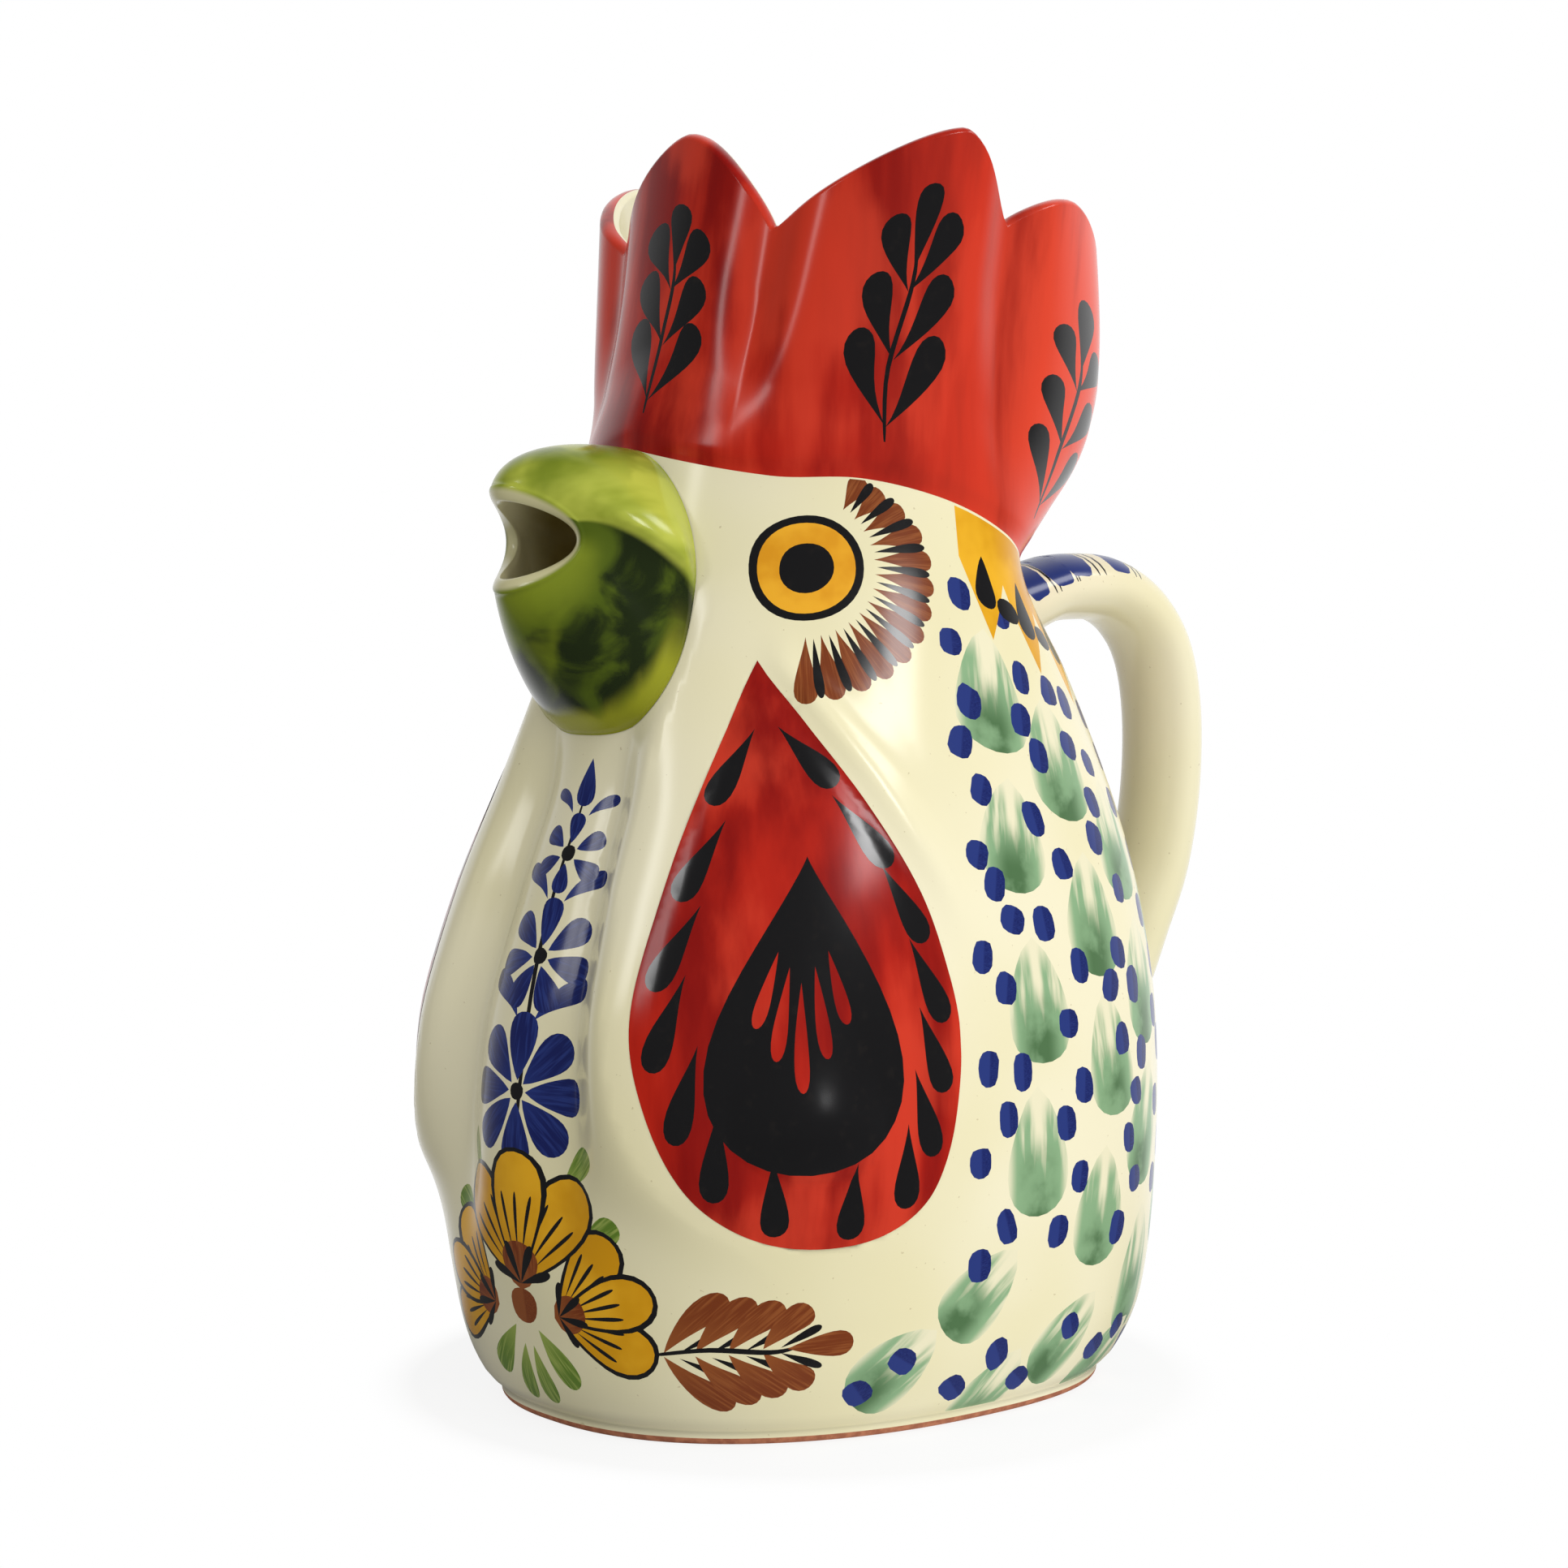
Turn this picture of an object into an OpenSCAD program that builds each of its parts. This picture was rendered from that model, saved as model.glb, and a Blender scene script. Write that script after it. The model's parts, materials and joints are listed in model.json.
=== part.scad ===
// Rooster pitcher: a glazed earthenware jug in the shape of a rooster.
// The belly is the vessel, the comb is its open crown, the beak is the spout
// and the handle stands on the back. The beak points to -Y, the handle to +Y,
// +Z is up, and the origin is the centre of the foot's underside.
// Angles are measured around the vessel's middle line from the front, positive
// towards +X, and reaches are measured from that line too.

/* [Body] */
// Height of the body at the front, from the underside to the comb's base line
body_h = 220; // [190:1:250]
// Width of the belly, without the swellings that carry the wattles
belly_w = 151; // [135:1:165]
// Reach of the chest in front of the middle line
chest_reach = 93; // [84:1:100]
// Reach of the back behind the middle line
back_reach = 75; // [68:1:84]
// Thickness of the fired wall
wall = 4.8; // [4:0.1:6]
// Thickness of the floor above the foot
floor_t = 5; // [4:0.5:8]

/* [Foot] */
// Height of the bare clay foot
foot_h = 3; // [2:0.5:5]
// How far the foot's lower edge is rounded in
foot_edge = 1.6; // [1:0.1:2.5]

/* [Chest and cheeks] */
// Height of each cheek swelling over the belly
swell_h = 7.5; // [5:0.5:10]
// Depth of the valley between the chest and each swelling
valley_d = 3.5; // [2:0.5:5]
// Height of the rounded strip down the middle of the chest
chest_h = 1.5; // [0.5:0.5:3]
// Height of the fold behind each wattle's upper edge
ridge_h = 1.6; // [0:0.2:3]

/* [Wattles] */
// How far each wattle's upper tip lies below the comb's base line
wattle_drop = 48; // [40:1:60]
// Height of each wattle's lower edge
wattle_bottom = 46; // [40:1:60]
// Width of each wattle, measured along the belly
wattle_w = 60.6; // [52:0.2:66]
// Thickness of a wattle at its middle
wattle_t = 3.2; // [2.5:0.1:4]
// Height of the drop-shaped boss on each wattle
drop_h = 4.5; // [1:0.5:6]

/* [Comb] */
// Height of the front lobe's tip above the comb's base line
comb_rise = 73; // [60:1:88]
// Width of the comb across its middle lobes
comb_w = 127; // [112:1:140]
// Reach of the comb's base in front of the middle line
comb_front = 60; // [54:1:66]
// Reach of the comb behind the middle line
comb_back = 78; // [70:1:88]
// Depth of the valleys between the lobes
lobe_valley_d = 3.5; // [2:0.5:5]
// Height of the rounded fold at the comb's base
fold_h = 1.2; // [0:0.2:2.4]

/* [Beak] */
// How far the beak's tip stands out of the head
beak_l = 31; // [26:0.5:38]
// How far the middle of the mouth lies below the comb's base line
mouth_drop = 22; // [16:1:30]
// Width of the mouth, over the lips
mouth_w = 29.5; // [25:0.5:33]
// Height of the mouth, over the lips
mouth_h = 23; // [19:1:27]
// How far the corners of the mouth lie behind its tip
mouth_back = 12.5; // [8:0.5:16]
// Thickness of the beak's lips
lip = 3.4; // [3:0.1:4]
// Radius of the throat through the head's wall
throat_r = 12; // [9:0.5:14]

/* [Handle] */
// Width of the handle across the pitcher
handle_w = 24; // [20:1:28]
// Thickness of the handle
handle_t = 17; // [14:1:20]
// Reach of the handle's own line behind the middle line
handle_reach = 119.5; // [112:0.5:132]
// How far the top of the handle's middle line lies below the comb's base line
handle_drop = 29.5; // [24:0.5:38]
// Height of the handle's lower root
handle_bottom = 66; // [58:1:75]

/* [Hidden] */

total_h = body_h + comb_rise;
wattle_top = body_h - wattle_drop;
wattle_span = wattle_w / belly_w * 180 / PI; // half of the angle that a wattle covers
mouth_z = body_h - mouth_drop;
throat_z = mouth_z - throat_r / 2;
handle_top = body_h - handle_drop;
seat = 0.2;          // clearance under a piece that is seated on the body
wattle_edge_t = 1;   // thickness of a wattle near its edge
step = 0.5;          // step for measuring a slope

valley_angle = 14;   // angle of the valleys beside the chest
valley_spread = 4.5; // how wide they are, as an angle
chest_spread = 9;    // how wide the strip between them is, as an angle
ridge_gap = 5;       // angle from a wattle's edge to the fold behind it
ridge_spread = 2.6;  // how wide that fold is, as an angle
notch_spread = 6;    // how wide the valleys between the lobes are, as an angle

columns = 84;     // columns around the vessel
turn = 360 / columns;
body_rows = 44;   // rows up the outside of the body
inner_rows = 14;  // rows up its inside

// Body outline: height, half width, front reach and back reach
body_shares = [
  [0.000, 0.755, 0.825, 0.805], [0.032, 0.845, 0.914, 0.927],
  [0.100, 0.930, 0.967, 1.000], [0.245, 1.000, 1.000, 1.000],
  [0.405, 1.000, 0.973, 0.999], [0.540, 0.945, 0.873, 0.953],
  [0.655, 0.875, 0.783, 0.876], [0.770, 0.790, 0.723, 0.732],
  [0.880, 0.720, 0.670, 0.469], [1.000, 0.675, 0.617, 0.569]];
body_table = [for (s = body_shares)
  [s[0] * body_h, s[1] * belly_w / 2, s[2] * chest_reach, s[3] * back_reach]];
// How far the middle line stands behind the foot's centre
middle_y = (body_table[0][2] - body_table[0][3]) / 2;

// Comb outline: height, half width, front reach and back reach
comb_shares = [
  [0.651, 0.850, 1.000, 0.440], [0.678, 0.833, 0.984, 0.520],
  [0.708, 0.817, 0.968, 0.670], [0.742, 0.817, 0.937, 0.845],
  [0.776, 0.833, 0.889, 0.950], [0.827, 0.867, 0.841, 1.000],
  [0.895, 0.917, 0.778, 0.955], [1.003, 1.000, 0.683, 0.810]];
comb_table = [for (s = comb_shares)
  [s[0] * total_h, s[1] * comb_w / 2, s[2] * comb_front, s[3] * comb_back]];

// Height over which the comb's section joins the body's
join_share = 0.12;
// Heights where the valleys beside the chest start, are full, fade and end
valley_shares = [0.12, 0.30, 0.62, 0.74];
// The same for the strip between them
chest_shares = [0.10, 0.30, 0.55, 0.70];
// Where the fold behind a wattle starts, is full, fades and ends, up the wattle
ridge_shares = [0.45, 0.68, 0.92, 1.08];
// Heights between which the body's section turns from a full one to an ellipse
fullness_shares = [0.50, 0.82];
belly_n = 2.35;   // how full the belly's section is, where 2 is an ellipse
back_n = 2.25;    // how full the comb's section is at the back

// Base line of the comb: angle from the front, height
base_shares = [[0, 1.000], [40, 0.968], [60, 0.966], [80, 0.948],
               [105, 0.914], [130, 0.886], [180, 0.873]];
base_table = [for (s = base_shares) [s[0], s[1] * body_h]];

// Rim of the comb: angle, height, how full the edge is from there to the next
// row. Tips and notches take turns, and the first row is a tip.
rim_shares = [[0, 1.000, 1.60], [29, 0.917, 1.45], [79, 0.990, 1.60], [98, 0.925, 1.80],
              [119, 0.951, 1.75], [145, 0.880, 1.80], [180, 0.930, 1.80]];

// Wattle outline from its lower edge up: root of the height share, half angle
wattle_shares = [[0, 0], [0.10, 0.29], [0.25, 0.63], [0.37, 0.81], [0.50, 0.94], [0.60, 1.00],
                 [0.68, 0.97], [0.78, 0.84], [0.87, 0.61], [0.95, 0.27], [1, 0]];
// Wattle middle line: height share, angle
wattle_line_shares = [[-0.2, 55], [0, 54.5], [0.14, 53], [0.45, 50], [0.60, 48.4],
                      [0.75, 45.2], [0.90, 41.8], [1, 39.4], [1.2, 38]];
// Edges of the swelling: height share of the wattle, then the angles where it
// starts in front, where its crest is and where it ends behind
swell_line_shares = [
  [-0.15, 24, 56, 70], [0, 18, 43, 78], [0.07, 17, 35, 82], [0.19, 15, 28, 86],
  [0.35, 13, 24, 88], [0.54, 11.5, 22, 84], [0.68, 10.5, 21, 78], [0.83, 11, 21.5, 70],
  [1.02, 16, 27, 62], [1.15, 20, 32, 58]];
back_slope = 1.3; // how the swelling falls off behind its crest, where 1 is a straight slope
// Height of the swelling: height share of the wattle, share of the full height
swell_shares = [[-0.15, 0], [-0.05, 0.12], [0.03, 0.40], [0.11, 0.76], [0.25, 0.96],
                [0.45, 1.00], [0.62, 0.97], [0.80, 0.78], [0.92, 0.52], [1.05, 0.18], [1.15, 0]];

function mix(a, b, t) = a + (b - a) * t;
function ease(a, b, x) = let (t = max(0, min(1, (x - a) / (b - a)))) t * t * (3 - 2 * t);
function bell(x, s) = exp(-x * x / (2 * s * s));

// Smooth curve through the rows of a table: column k as a function of column 0
function row_at(t, x, i = 0) = (i >= len(t) - 2 || x < t[i + 1][0]) ? i : row_at(t, x, i + 1);
function slope_at(t, i, k) = let (a = max(i - 1, 0), b = min(i + 1, len(t) - 1))
  (t[b][k] - t[a][k]) / (t[b][0] - t[a][0]);
function curve(t, x, k) = let (
  i = row_at(t, x), h = t[i + 1][0] - t[i][0],
  u = max(0, min(1, (x - t[i][0]) / h)), u2 = u * u, u3 = u2 * u)
  (2 * u3 - 3 * u2 + 1) * t[i][k] + (u3 - 2 * u2 + u) * h * slope_at(t, i, k)
  + (3 * u2 - 2 * u3) * t[i + 1][k] + (u3 - u2) * h * slope_at(t, i + 1, k);

// Egg-shaped section with half width w, front reach f and back reach b; n is
// how full its corners are, where 2 is an ellipse
function egg(w, f, b, n, a) = let (
  k = pow(pow(abs(cos(a)), n) + pow(abs(sin(a)), n), -1 / n),
  c = cos(a) * k, s = sin(a) * k)
  [w * s, -(f + b) / 2 * c - (f - b) / 2 * c * c];
function belly_fullness(z) = mix(belly_n, 2,
  ease(fullness_shares[0] * body_h, fullness_shares[1] * body_h, z));
function plain_body(a, z) = egg(curve(body_table, z, 1), curve(body_table, z, 2),
  curve(body_table, z, 3), belly_fullness(z), a);

inner_relief_share = 0.75; // how much of a wall's outer relief shows inside

// Relief of the chest and cheeks, outwards from the plain body
function wattle_share(z) = (z - wattle_bottom) / (wattle_top - wattle_bottom);
function wattle_mid(z) = curve(wattle_line_shares, wattle_share(z), 1);
function wattle_half(z) = let (v = wattle_share(z))
  v <= 0 || v >= 1 ? 0 : wattle_span * curve(wattle_shares, sqrt(v), 1);
function swelling(a, z) = let (
  v = wattle_share(z), start = curve(swell_line_shares, v, 1),
  crest = curve(swell_line_shares, v, 2), end = curve(swell_line_shares, v, 3),
  u = max(0, min(1, (abs(a) - crest) / (end - crest))))
  swell_h * curve(swell_shares, v, 1) * ease(start, crest, abs(a)) * pow(1 - u, back_slope);
function between(s, z) = ease(s[0] * body_h, s[1] * body_h, z)
  * (1 - ease(s[2] * body_h, s[3] * body_h, z));
function valley(a, z) = valley_d * bell(abs(a) - valley_angle, valley_spread)
  * between(valley_shares, z);
function chest(a, z) = chest_h * bell(a, chest_spread) * between(chest_shares, z);
function ridge(a, z) = let (v = wattle_share(z), s = ridge_shares)
  ridge_h * bell(abs(a) - wattle_mid(z) - wattle_half(z) - ridge_gap, ridge_spread)
  * ease(s[0], s[1], v) * (1 - ease(s[2], s[3], v));
function relief(a, z) = swelling(a, z) - valley(a, z) + chest(a, z) + ridge(a, z);

// Horizontal outward direction of a section at angle a
function outward(p, q) = let (t = q - p) [t[1], -t[0]] / norm(t);
function body_out(a, z) = outward(plain_body(a - step, z), plain_body(a + step, z));
function body_xy(a, z, r) = plain_body(a, z) + body_out(a, z) * r;

// How much a wall that leans needs to be wider along the horizontal
function lean(a, z) = let (n = body_out(a, z),
  d = (plain_body(a, z + step) - plain_body(a, z - step)) * n / (2 * step)) sqrt(1 + d * d);

// The wattle's seat: the body is lower there by the thickness of the wattle
function wattle_edge(a, z) = let (h = wattle_half(z))
  h <= 0 ? 1 : min(1, abs(abs(a) - wattle_mid(z)) / h);
function wattle_depth(a, z) = let (v = wattle_share(z), e = wattle_edge(a, z))
  v <= 0 || v >= 1 ? 0
  : (wattle_t - wattle_edge_t) * pow(1 - e * e, 2) * ease(0, 0.3, v) * (1 - ease(0.6, 1, v));
function body_at(a, z, r) = let (p = body_xy(a, z, r)) [p[0], p[1], z];
function body_point(a, z) = body_at(a, z, relief(a, z) - wattle_depth(a, z));
function body_inner(a, z) = body_at(a, z, inner_relief_share * relief(a, z) - wall * lean(a, z));

function base_z(a) = curve(base_table, abs(a), 1);
function body_ring(v) = [for (i = [0:columns - 1]) let (a = -180 + i * turn)
  body_point(a, mix(foot_h, base_z(a), v))];
function inner_ring(v) = [for (i = [0:columns - 1]) let (a = -180 + i * turn)
  body_inner(a, mix(foot_h + floor_t, base_z(a), v))];

// Faces between rings of n points each; a closed band joins the last to the first
function band(n, from, to) = [for (j = [0:n - 1]) let (k = (j + 1) % n) each
  [[from + j, to + j, to + k], [from + j, to + k, from + k]]];
function skin(n, rings) = [for (i = [0:rings - 2]) each band(n, i * n, (i + 1) * n)];
function loop(n, rings) = [each skin(n, rings), each band(n, (rings - 1) * n, 0)];
function joined(rings) = [for (r = rings) each r];

module seated() translate([0, middle_y, 0]) children();

module body_shell() {
  rings = [
    for (i = [0:body_rows]) body_ring(i / body_rows),
    for (i = [inner_rows:-1:0]) inner_ring(i / inner_rows)];
  last = (len(rings) - 1) * columns;
  color("ivory") seated()
  difference() {
    polyhedron(joined(rings), [
      [for (j = [0:columns - 1]) j],
      each skin(columns, len(rings)),
      [for (j = [columns - 1:-1:0]) last + j]]);
    translate([0, -beak_reach, throat_z]) rotate([-90, 0, 0])
      cylinder(h = beak_reach, r = throat_r, $fn = 48);
  }
}

// The foot: a slab under the body whose lower edge is rounded in
function foot_ring(z, inset) = [for (i = [0:columns - 1]) let (a = -180 + i * turn,
  p = body_xy(a, foot_h, -inset)) [p[0], p[1], z]];
module foot() {
  rings = [foot_ring(0, foot_edge), foot_ring(foot_edge / 3, foot_edge / 2),
           foot_ring(foot_edge, 0), foot_ring(foot_h, 0)];
  color("peru") seated()
  polyhedron(joined(rings), [
    [for (j = [0:columns - 1]) j],
    each skin(columns, len(rings)),
    [for (j = [columns - 1:-1:0]) (len(rings) - 1) * columns + j]]);
}

// The comb: outline from its table, joined smoothly to the body's upper ring
function comb_fullness(a) = mix(2, back_n, ease(90, 140, abs(a)));
function plain_comb(a, z) = egg(curve(comb_table, z, 1), curve(comb_table, z, 2),
  curve(comb_table, z, 3), comb_fullness(a), a);
function comb_core(a, z) = let (z0 = base_z(a))
  plain_comb(a, z) + (plain_body(a, z0) - plain_comb(a, z0))
  * (1 - ease(0, join_share * body_h, z - z0));
function comb_out(a, z) = outward(comb_core(a - step, z), comb_core(a + step, z));
notch_angles = [for (i = [1:2:len(rim_shares) - 2]) rim_shares[i][0]];
function notches(a) = max([for (n = notch_angles) bell(abs(a) - n, notch_spread)]);
function comb_relief(a, v) = fold_h * ease(0, 0.08, v) * (1 - ease(0.10, 0.35, v))
  - lobe_valley_d * notches(a) * ease(0.1, 0.75, v);
function rim_z(a) = let (
  b = abs(a), i = row_at(rim_shares, b), p = rim_shares[i], q = rim_shares[i + 1],
  u = (b - p[0]) / (q[0] - p[0]), tip = i % 2 == 0)
  total_h * (tip ? mix(q[1], p[1], 1 - pow(u, p[2])) : mix(p[1], q[1], 1 - pow(1 - u, p[2])));
function comb_lean(a, z) = let (n = comb_out(a, z),
  d = (comb_core(a, z + step) - comb_core(a, z - step)) * n / (2 * step)) sqrt(1 + d * d);
function comb_at(a, z, r) = let (p = comb_core(a, z) + comb_out(a, z) * r) [p[0], p[1], z];
function comb_height(a, v, drop) = mix(base_z(a), rim_z(a) - drop, v);
function comb_outer(a, v) = comb_at(a, comb_height(a, v, wall / 3), comb_relief(a, v));
function comb_edge(a) = comb_at(a, rim_z(a),
  comb_relief(a, 1) * inner_relief_share - wall / 2 * comb_lean(a, rim_z(a)));
function comb_inner(a, v) = let (z = comb_height(a, v, wall / 3))
  comb_at(a, z, comb_relief(a, v) * inner_relief_share
    - wall * mix(lean(a, base_z(a)), comb_lean(a, z), ease(0, 0.25, v)));
comb_rows = 14;
comb_inner_rows = 8;
module comb_crown() {
  angles = [for (j = [0:columns - 1]) -180 + j * turn];
  rings = [
    for (i = [0:comb_rows]) [for (a = angles) comb_outer(a, i / comb_rows)],
    [for (a = angles) comb_edge(a)],
    for (i = [comb_inner_rows:-1:0]) [for (a = angles) comb_inner(a, i / comb_inner_rows)]];
  color("firebrick") seated()
  polyhedron(joined(rings), loop(columns, len(rings)));
}

// The beak: rings of points swept from the head's surface to the mouth.
// An angle of 0 is its ridge, 90 its right side and 180 its underside.
beak_columns = 48;
beak_steps = 9;
beak_root_shares = [0.852, 0.147]; // middle and half height of its root, of body_h
beak_span = 24.7;                  // half of the angle that its root covers
crease_h = 2.4;                    // height of the ledge along each side
hollow_d = 1.3;                    // depth of the hollow below it
low_n = 2.9;                       // how full the underside is, where 2 is an ellipse
face_reach = curve(body_table, throat_z, 2); // reach of the head where the beak stands
beak_reach = face_reach + beak_l;
// Guide rings between root and mouth: half width over mouth_w, top and bottom
// height from mouth_z over mouth_h, then how far top, side and bottom stand out
beak_shares = [
  [0.875, 1.020, -1.565, 0.256, 0.071, 0.530],
  [0.714, 1.000, -1.040, 0.862, 0.441, 0.800]];
mouth_shares = [0.500, 0.560, -0.500, 1.000, 1 - mouth_back / beak_l, 0.968];

// Sine or cosine of an angle, pushed outwards on the underside by its fullness
function fuller(x, g, n) = sign(x) * pow(abs(x), cos(g) < 0 ? 2 / n : 1);
function beak_ring_point(s, g, n) = let (c = cos(g), d = sin(g))
  [s[0] * mouth_w * fuller(d, g, n),
   -face_reach - beak_l * (s[4] * d * d + (c > 0 ? s[3] : s[5]) * c * c),
   mouth_z + mouth_h * mix(s[2], s[1], (1 + fuller(c, g, n)) / 2)];
function on_head(a, z) = body_at(a, z, relief(a, z) + seat);
function beak_root_z(g) = body_h * (beak_root_shares[0] + beak_root_shares[1] * fuller(cos(g), g, low_n));
function beak_root_angle(g) = beak_span * fuller(sin(g), g, low_n);
function beak_root(g) = on_head(beak_root_angle(g), beak_root_z(g));
function bezier(p, t) = let (r = 1 - t)
  r * r * r * p[0] + 3 * r * r * t * p[1] + 3 * r * t * t * p[2] + t * t * t * p[3];
// The ledge turns up towards the mouth: angles of its crest at the root and there,
// how wide it is above and below, and how far under it the hollow lies
ledge_root_angle = 84;
ledge_mouth_angle = 66;
ledge_spread = 17;
ledge_under_spread = 7;
hollow_angle = 24;
hollow_spread = 10;
function beak_ledge(g, t) = let (
  side = g < 180 ? 1 : -1, h = g < 180 ? g : 360 - g,
  k = h - mix(ledge_root_angle, ledge_mouth_angle, t))
  [side * ease(0, 0.2, t) * (1 - ease(0.6, 1, t))
   * (crease_h * bell(k, k < 0 ? ledge_spread : ledge_under_spread)
      - hollow_d * bell(k - hollow_angle, hollow_spread)), 0, 0];
function beak_outer(g, t) = beak_ledge(g, t) + bezier([
  beak_root(g), beak_ring_point(beak_shares[0], g, low_n),
  beak_ring_point(beak_shares[1], g, mix(low_n, 2, 0.5)), beak_ring_point(mouth_shares, g, 2)], t);
function mouth_inner(g) = let (p = beak_ring_point(mouth_shares, g, 2))
  [p[0] * (1 - 2 * lip / mouth_w), p[1] + lip / 4, mix(mouth_z, p[2], 1 - 2 * lip / mouth_h)];
function throat_angle(x, z) = asin(x / curve(body_table, z, 1));
function beak_throat(g) = let (z = throat_z + throat_r * cos(g))
  on_head(throat_angle(throat_r * sin(g), z), z);
function beak_inner(g, t) = mix(mouth_inner(g), beak_throat(g), t)
  + lip * sin(180 * t) * [sin(g), 0, cos(g) - 0.4];
function beak_seat(g, t) = let (
  z0 = throat_z + throat_r * cos(g), z1 = beak_root_z(g),
  a0 = throat_angle(throat_r * sin(g), z0), a1 = beak_root_angle(g))
  on_head(mix(a0, a1, t), mix(z0, z1, t));
module beak_spout() {
  gs = [for (j = [0:beak_columns - 1]) 360 - j * 360 / beak_columns];
  rings = [
    for (i = [0:beak_steps]) [for (g = gs) beak_outer(g, i / beak_steps)],
    [for (g = gs) mix(beak_outer(g, 1), mouth_inner(g), 0.5) - [0, lip / 4, 0]],
    for (i = [0:6]) [for (g = gs) beak_inner(g, i / 6)],
    for (i = [1:3]) [for (g = gs) beak_seat(g, i / 4)]];
  color("yellowgreen") seated()
  polyhedron(joined(rings), loop(beak_columns, len(rings)));
}

// A wattle: a teardrop pad on the cheek's swelling, with a drop-shaped boss
wattle_columns = 40;
wattle_heart_share = 0.38;                   // height of the middle of its rings
// Rings of its face: size, and how thick its edge is there
wattle_top_shares = [[1, 0.6], [0.96, 0.9], [0.89, 1], [0.76, 1],
                     [0.60, 1], [0.44, 1], [0.28, 1], [0.12, 1]];
wattle_under_shares = [0.25, 0.55, 0.8, 0.96]; // sizes of the rings under it
// The boss: height of its crest, how far it reaches above and below that, half angle
drop_shares = [0.21, 0.34, 0.10, 0.46];
drop_tail = 16;  // how sharply it falls off above its crest
function wattle_rim(g) = let (
  side = g < 180 ? 1 : -1, u = (g < 180 ? 180 - g : g - 180) / 180,
  z = mix(wattle_bottom, wattle_top, u * u))
  [wattle_mid(z) + side * wattle_span * curve(wattle_shares, u, 1), z];
function wattle_place(g, r) = let (z = mix(wattle_bottom, wattle_top, wattle_heart_share))
  mix([wattle_mid(z), z], wattle_rim(g), r);
function drop_boss(a, z) = let (
  s = wattle_share(z) - drop_shares[0], v = s > 0 ? s / drop_shares[1] : -s / drop_shares[2],
  d = (a - wattle_mid(z)) / (wattle_span * drop_shares[3] * (s > 0 ? 1 - 0.5 * v : 1)))
  drop_h * pow(max(0, 1 - v * v - d * d), 1.2) / (s > 0 ? 1 + drop_tail * v * v : 1);
function wattle_outer(g, s) = let (q = wattle_place(g, s[0]))
  body_at(q[0], q[1], relief(q[0], q[1]) + drop_boss(q[0], q[1]) + wattle_edge_t * s[1]);
function wattle_under(g, r) = let (q = wattle_place(g, r))
  body_at(q[0], q[1], relief(q[0], q[1]) - wattle_depth(q[0], q[1]) + seat);
module wattle() {
  gs = [for (j = [0:wattle_columns - 1]) j * 360 / wattle_columns];
  rings = [
    for (r = wattle_under_shares) [for (g = gs) wattle_under(g, r)],
    for (s = wattle_top_shares) [for (g = gs) wattle_outer(g, s)]];
  last = (len(rings) - 1) * wattle_columns;
  polyhedron(joined(rings), [
    [for (j = [wattle_columns - 1:-1:0]) j],
    each [for (f = skin(wattle_columns, len(rings))) [f[2], f[1], f[0]]],
    [for (j = [0:wattle_columns - 1]) last + j]]);
}
module wattle_left() color("firebrick") seated() mirror([1, 0, 0]) wattle();
module wattle_right() color("firebrick") seated() wattle();

// The handle: a strap swept along a middle line in the plane of symmetry,
// with both roots spread onto the back of the body
handle_sides = 20;
handle_flare_share = 1.25; // how much wider the roots are
handle_steps = 3;         // rings between two points of the middle line
// Middle line between the roots: reach over handle_reach, height from
// handle_bottom over the handle's height
handle_shares = [
  [0.520, 0.968], [0.610, 0.990], [0.693, 1.000], [0.800, 0.996], [0.898, 0.951], [0.969, 0.865],
  [1.000, 0.735], [0.996, 0.571], [0.961, 0.416], [0.898, 0.286], [0.843, 0.180], [0.787, 0.106]];
handle_root_shares = [0.915, 0.025]; // heights of the two roots
handle_line = [for (s = handle_shares)
  [s[0] * handle_reach, mix(handle_bottom, handle_top, s[1])]];
function line_point(t) = let (
  i = min(floor(t), len(handle_line) - 2), u = t - i,
  p = handle_line[max(i - 1, 0)], q = handle_line[i], r = handle_line[i + 1],
  s = handle_line[min(i + 2, len(handle_line) - 1)])
  (2 * q + (r - p) * u + (2 * p - 5 * q + 4 * r - s) * u * u
    + (3 * q - p - 3 * r + s) * u * u * u) / 2;
function back_y(x, z) = let (
  w = curve(body_table, z, 1), f = curve(body_table, z, 2), b = curve(body_table, z, 3),
  n = belly_fullness(z), c = -pow(1 - pow(abs(x) / w, n), 1 / n))
  -(f + b) / 2 * c - (f - b) / 2 * c * c;
function handle_ring(t) = let (
  c = line_point(t),
  e = line_point(min(t + 0.01, len(handle_line) - 1)) - line_point(max(t - 0.01, 0)),
  n = [-e[1], e[0]] / norm(e))
  [for (j = [0:handle_sides - 1]) let (g = -j * 360 / handle_sides,
    p = c + n * handle_t / 2 * sin(g)) [handle_w / 2 * cos(g), p[0], p[1]]];
function root_ring(share, turned, size) = let (zc = mix(handle_bottom, handle_top, share))
  [for (j = [0:handle_sides - 1]) let (g = -j * 360 / handle_sides,
    x = size * handle_w / 2 * cos(g), z = zc + turned * size * handle_t / 2 * sin(g))
    [x, back_y(x, z) + seat, z]];
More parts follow.
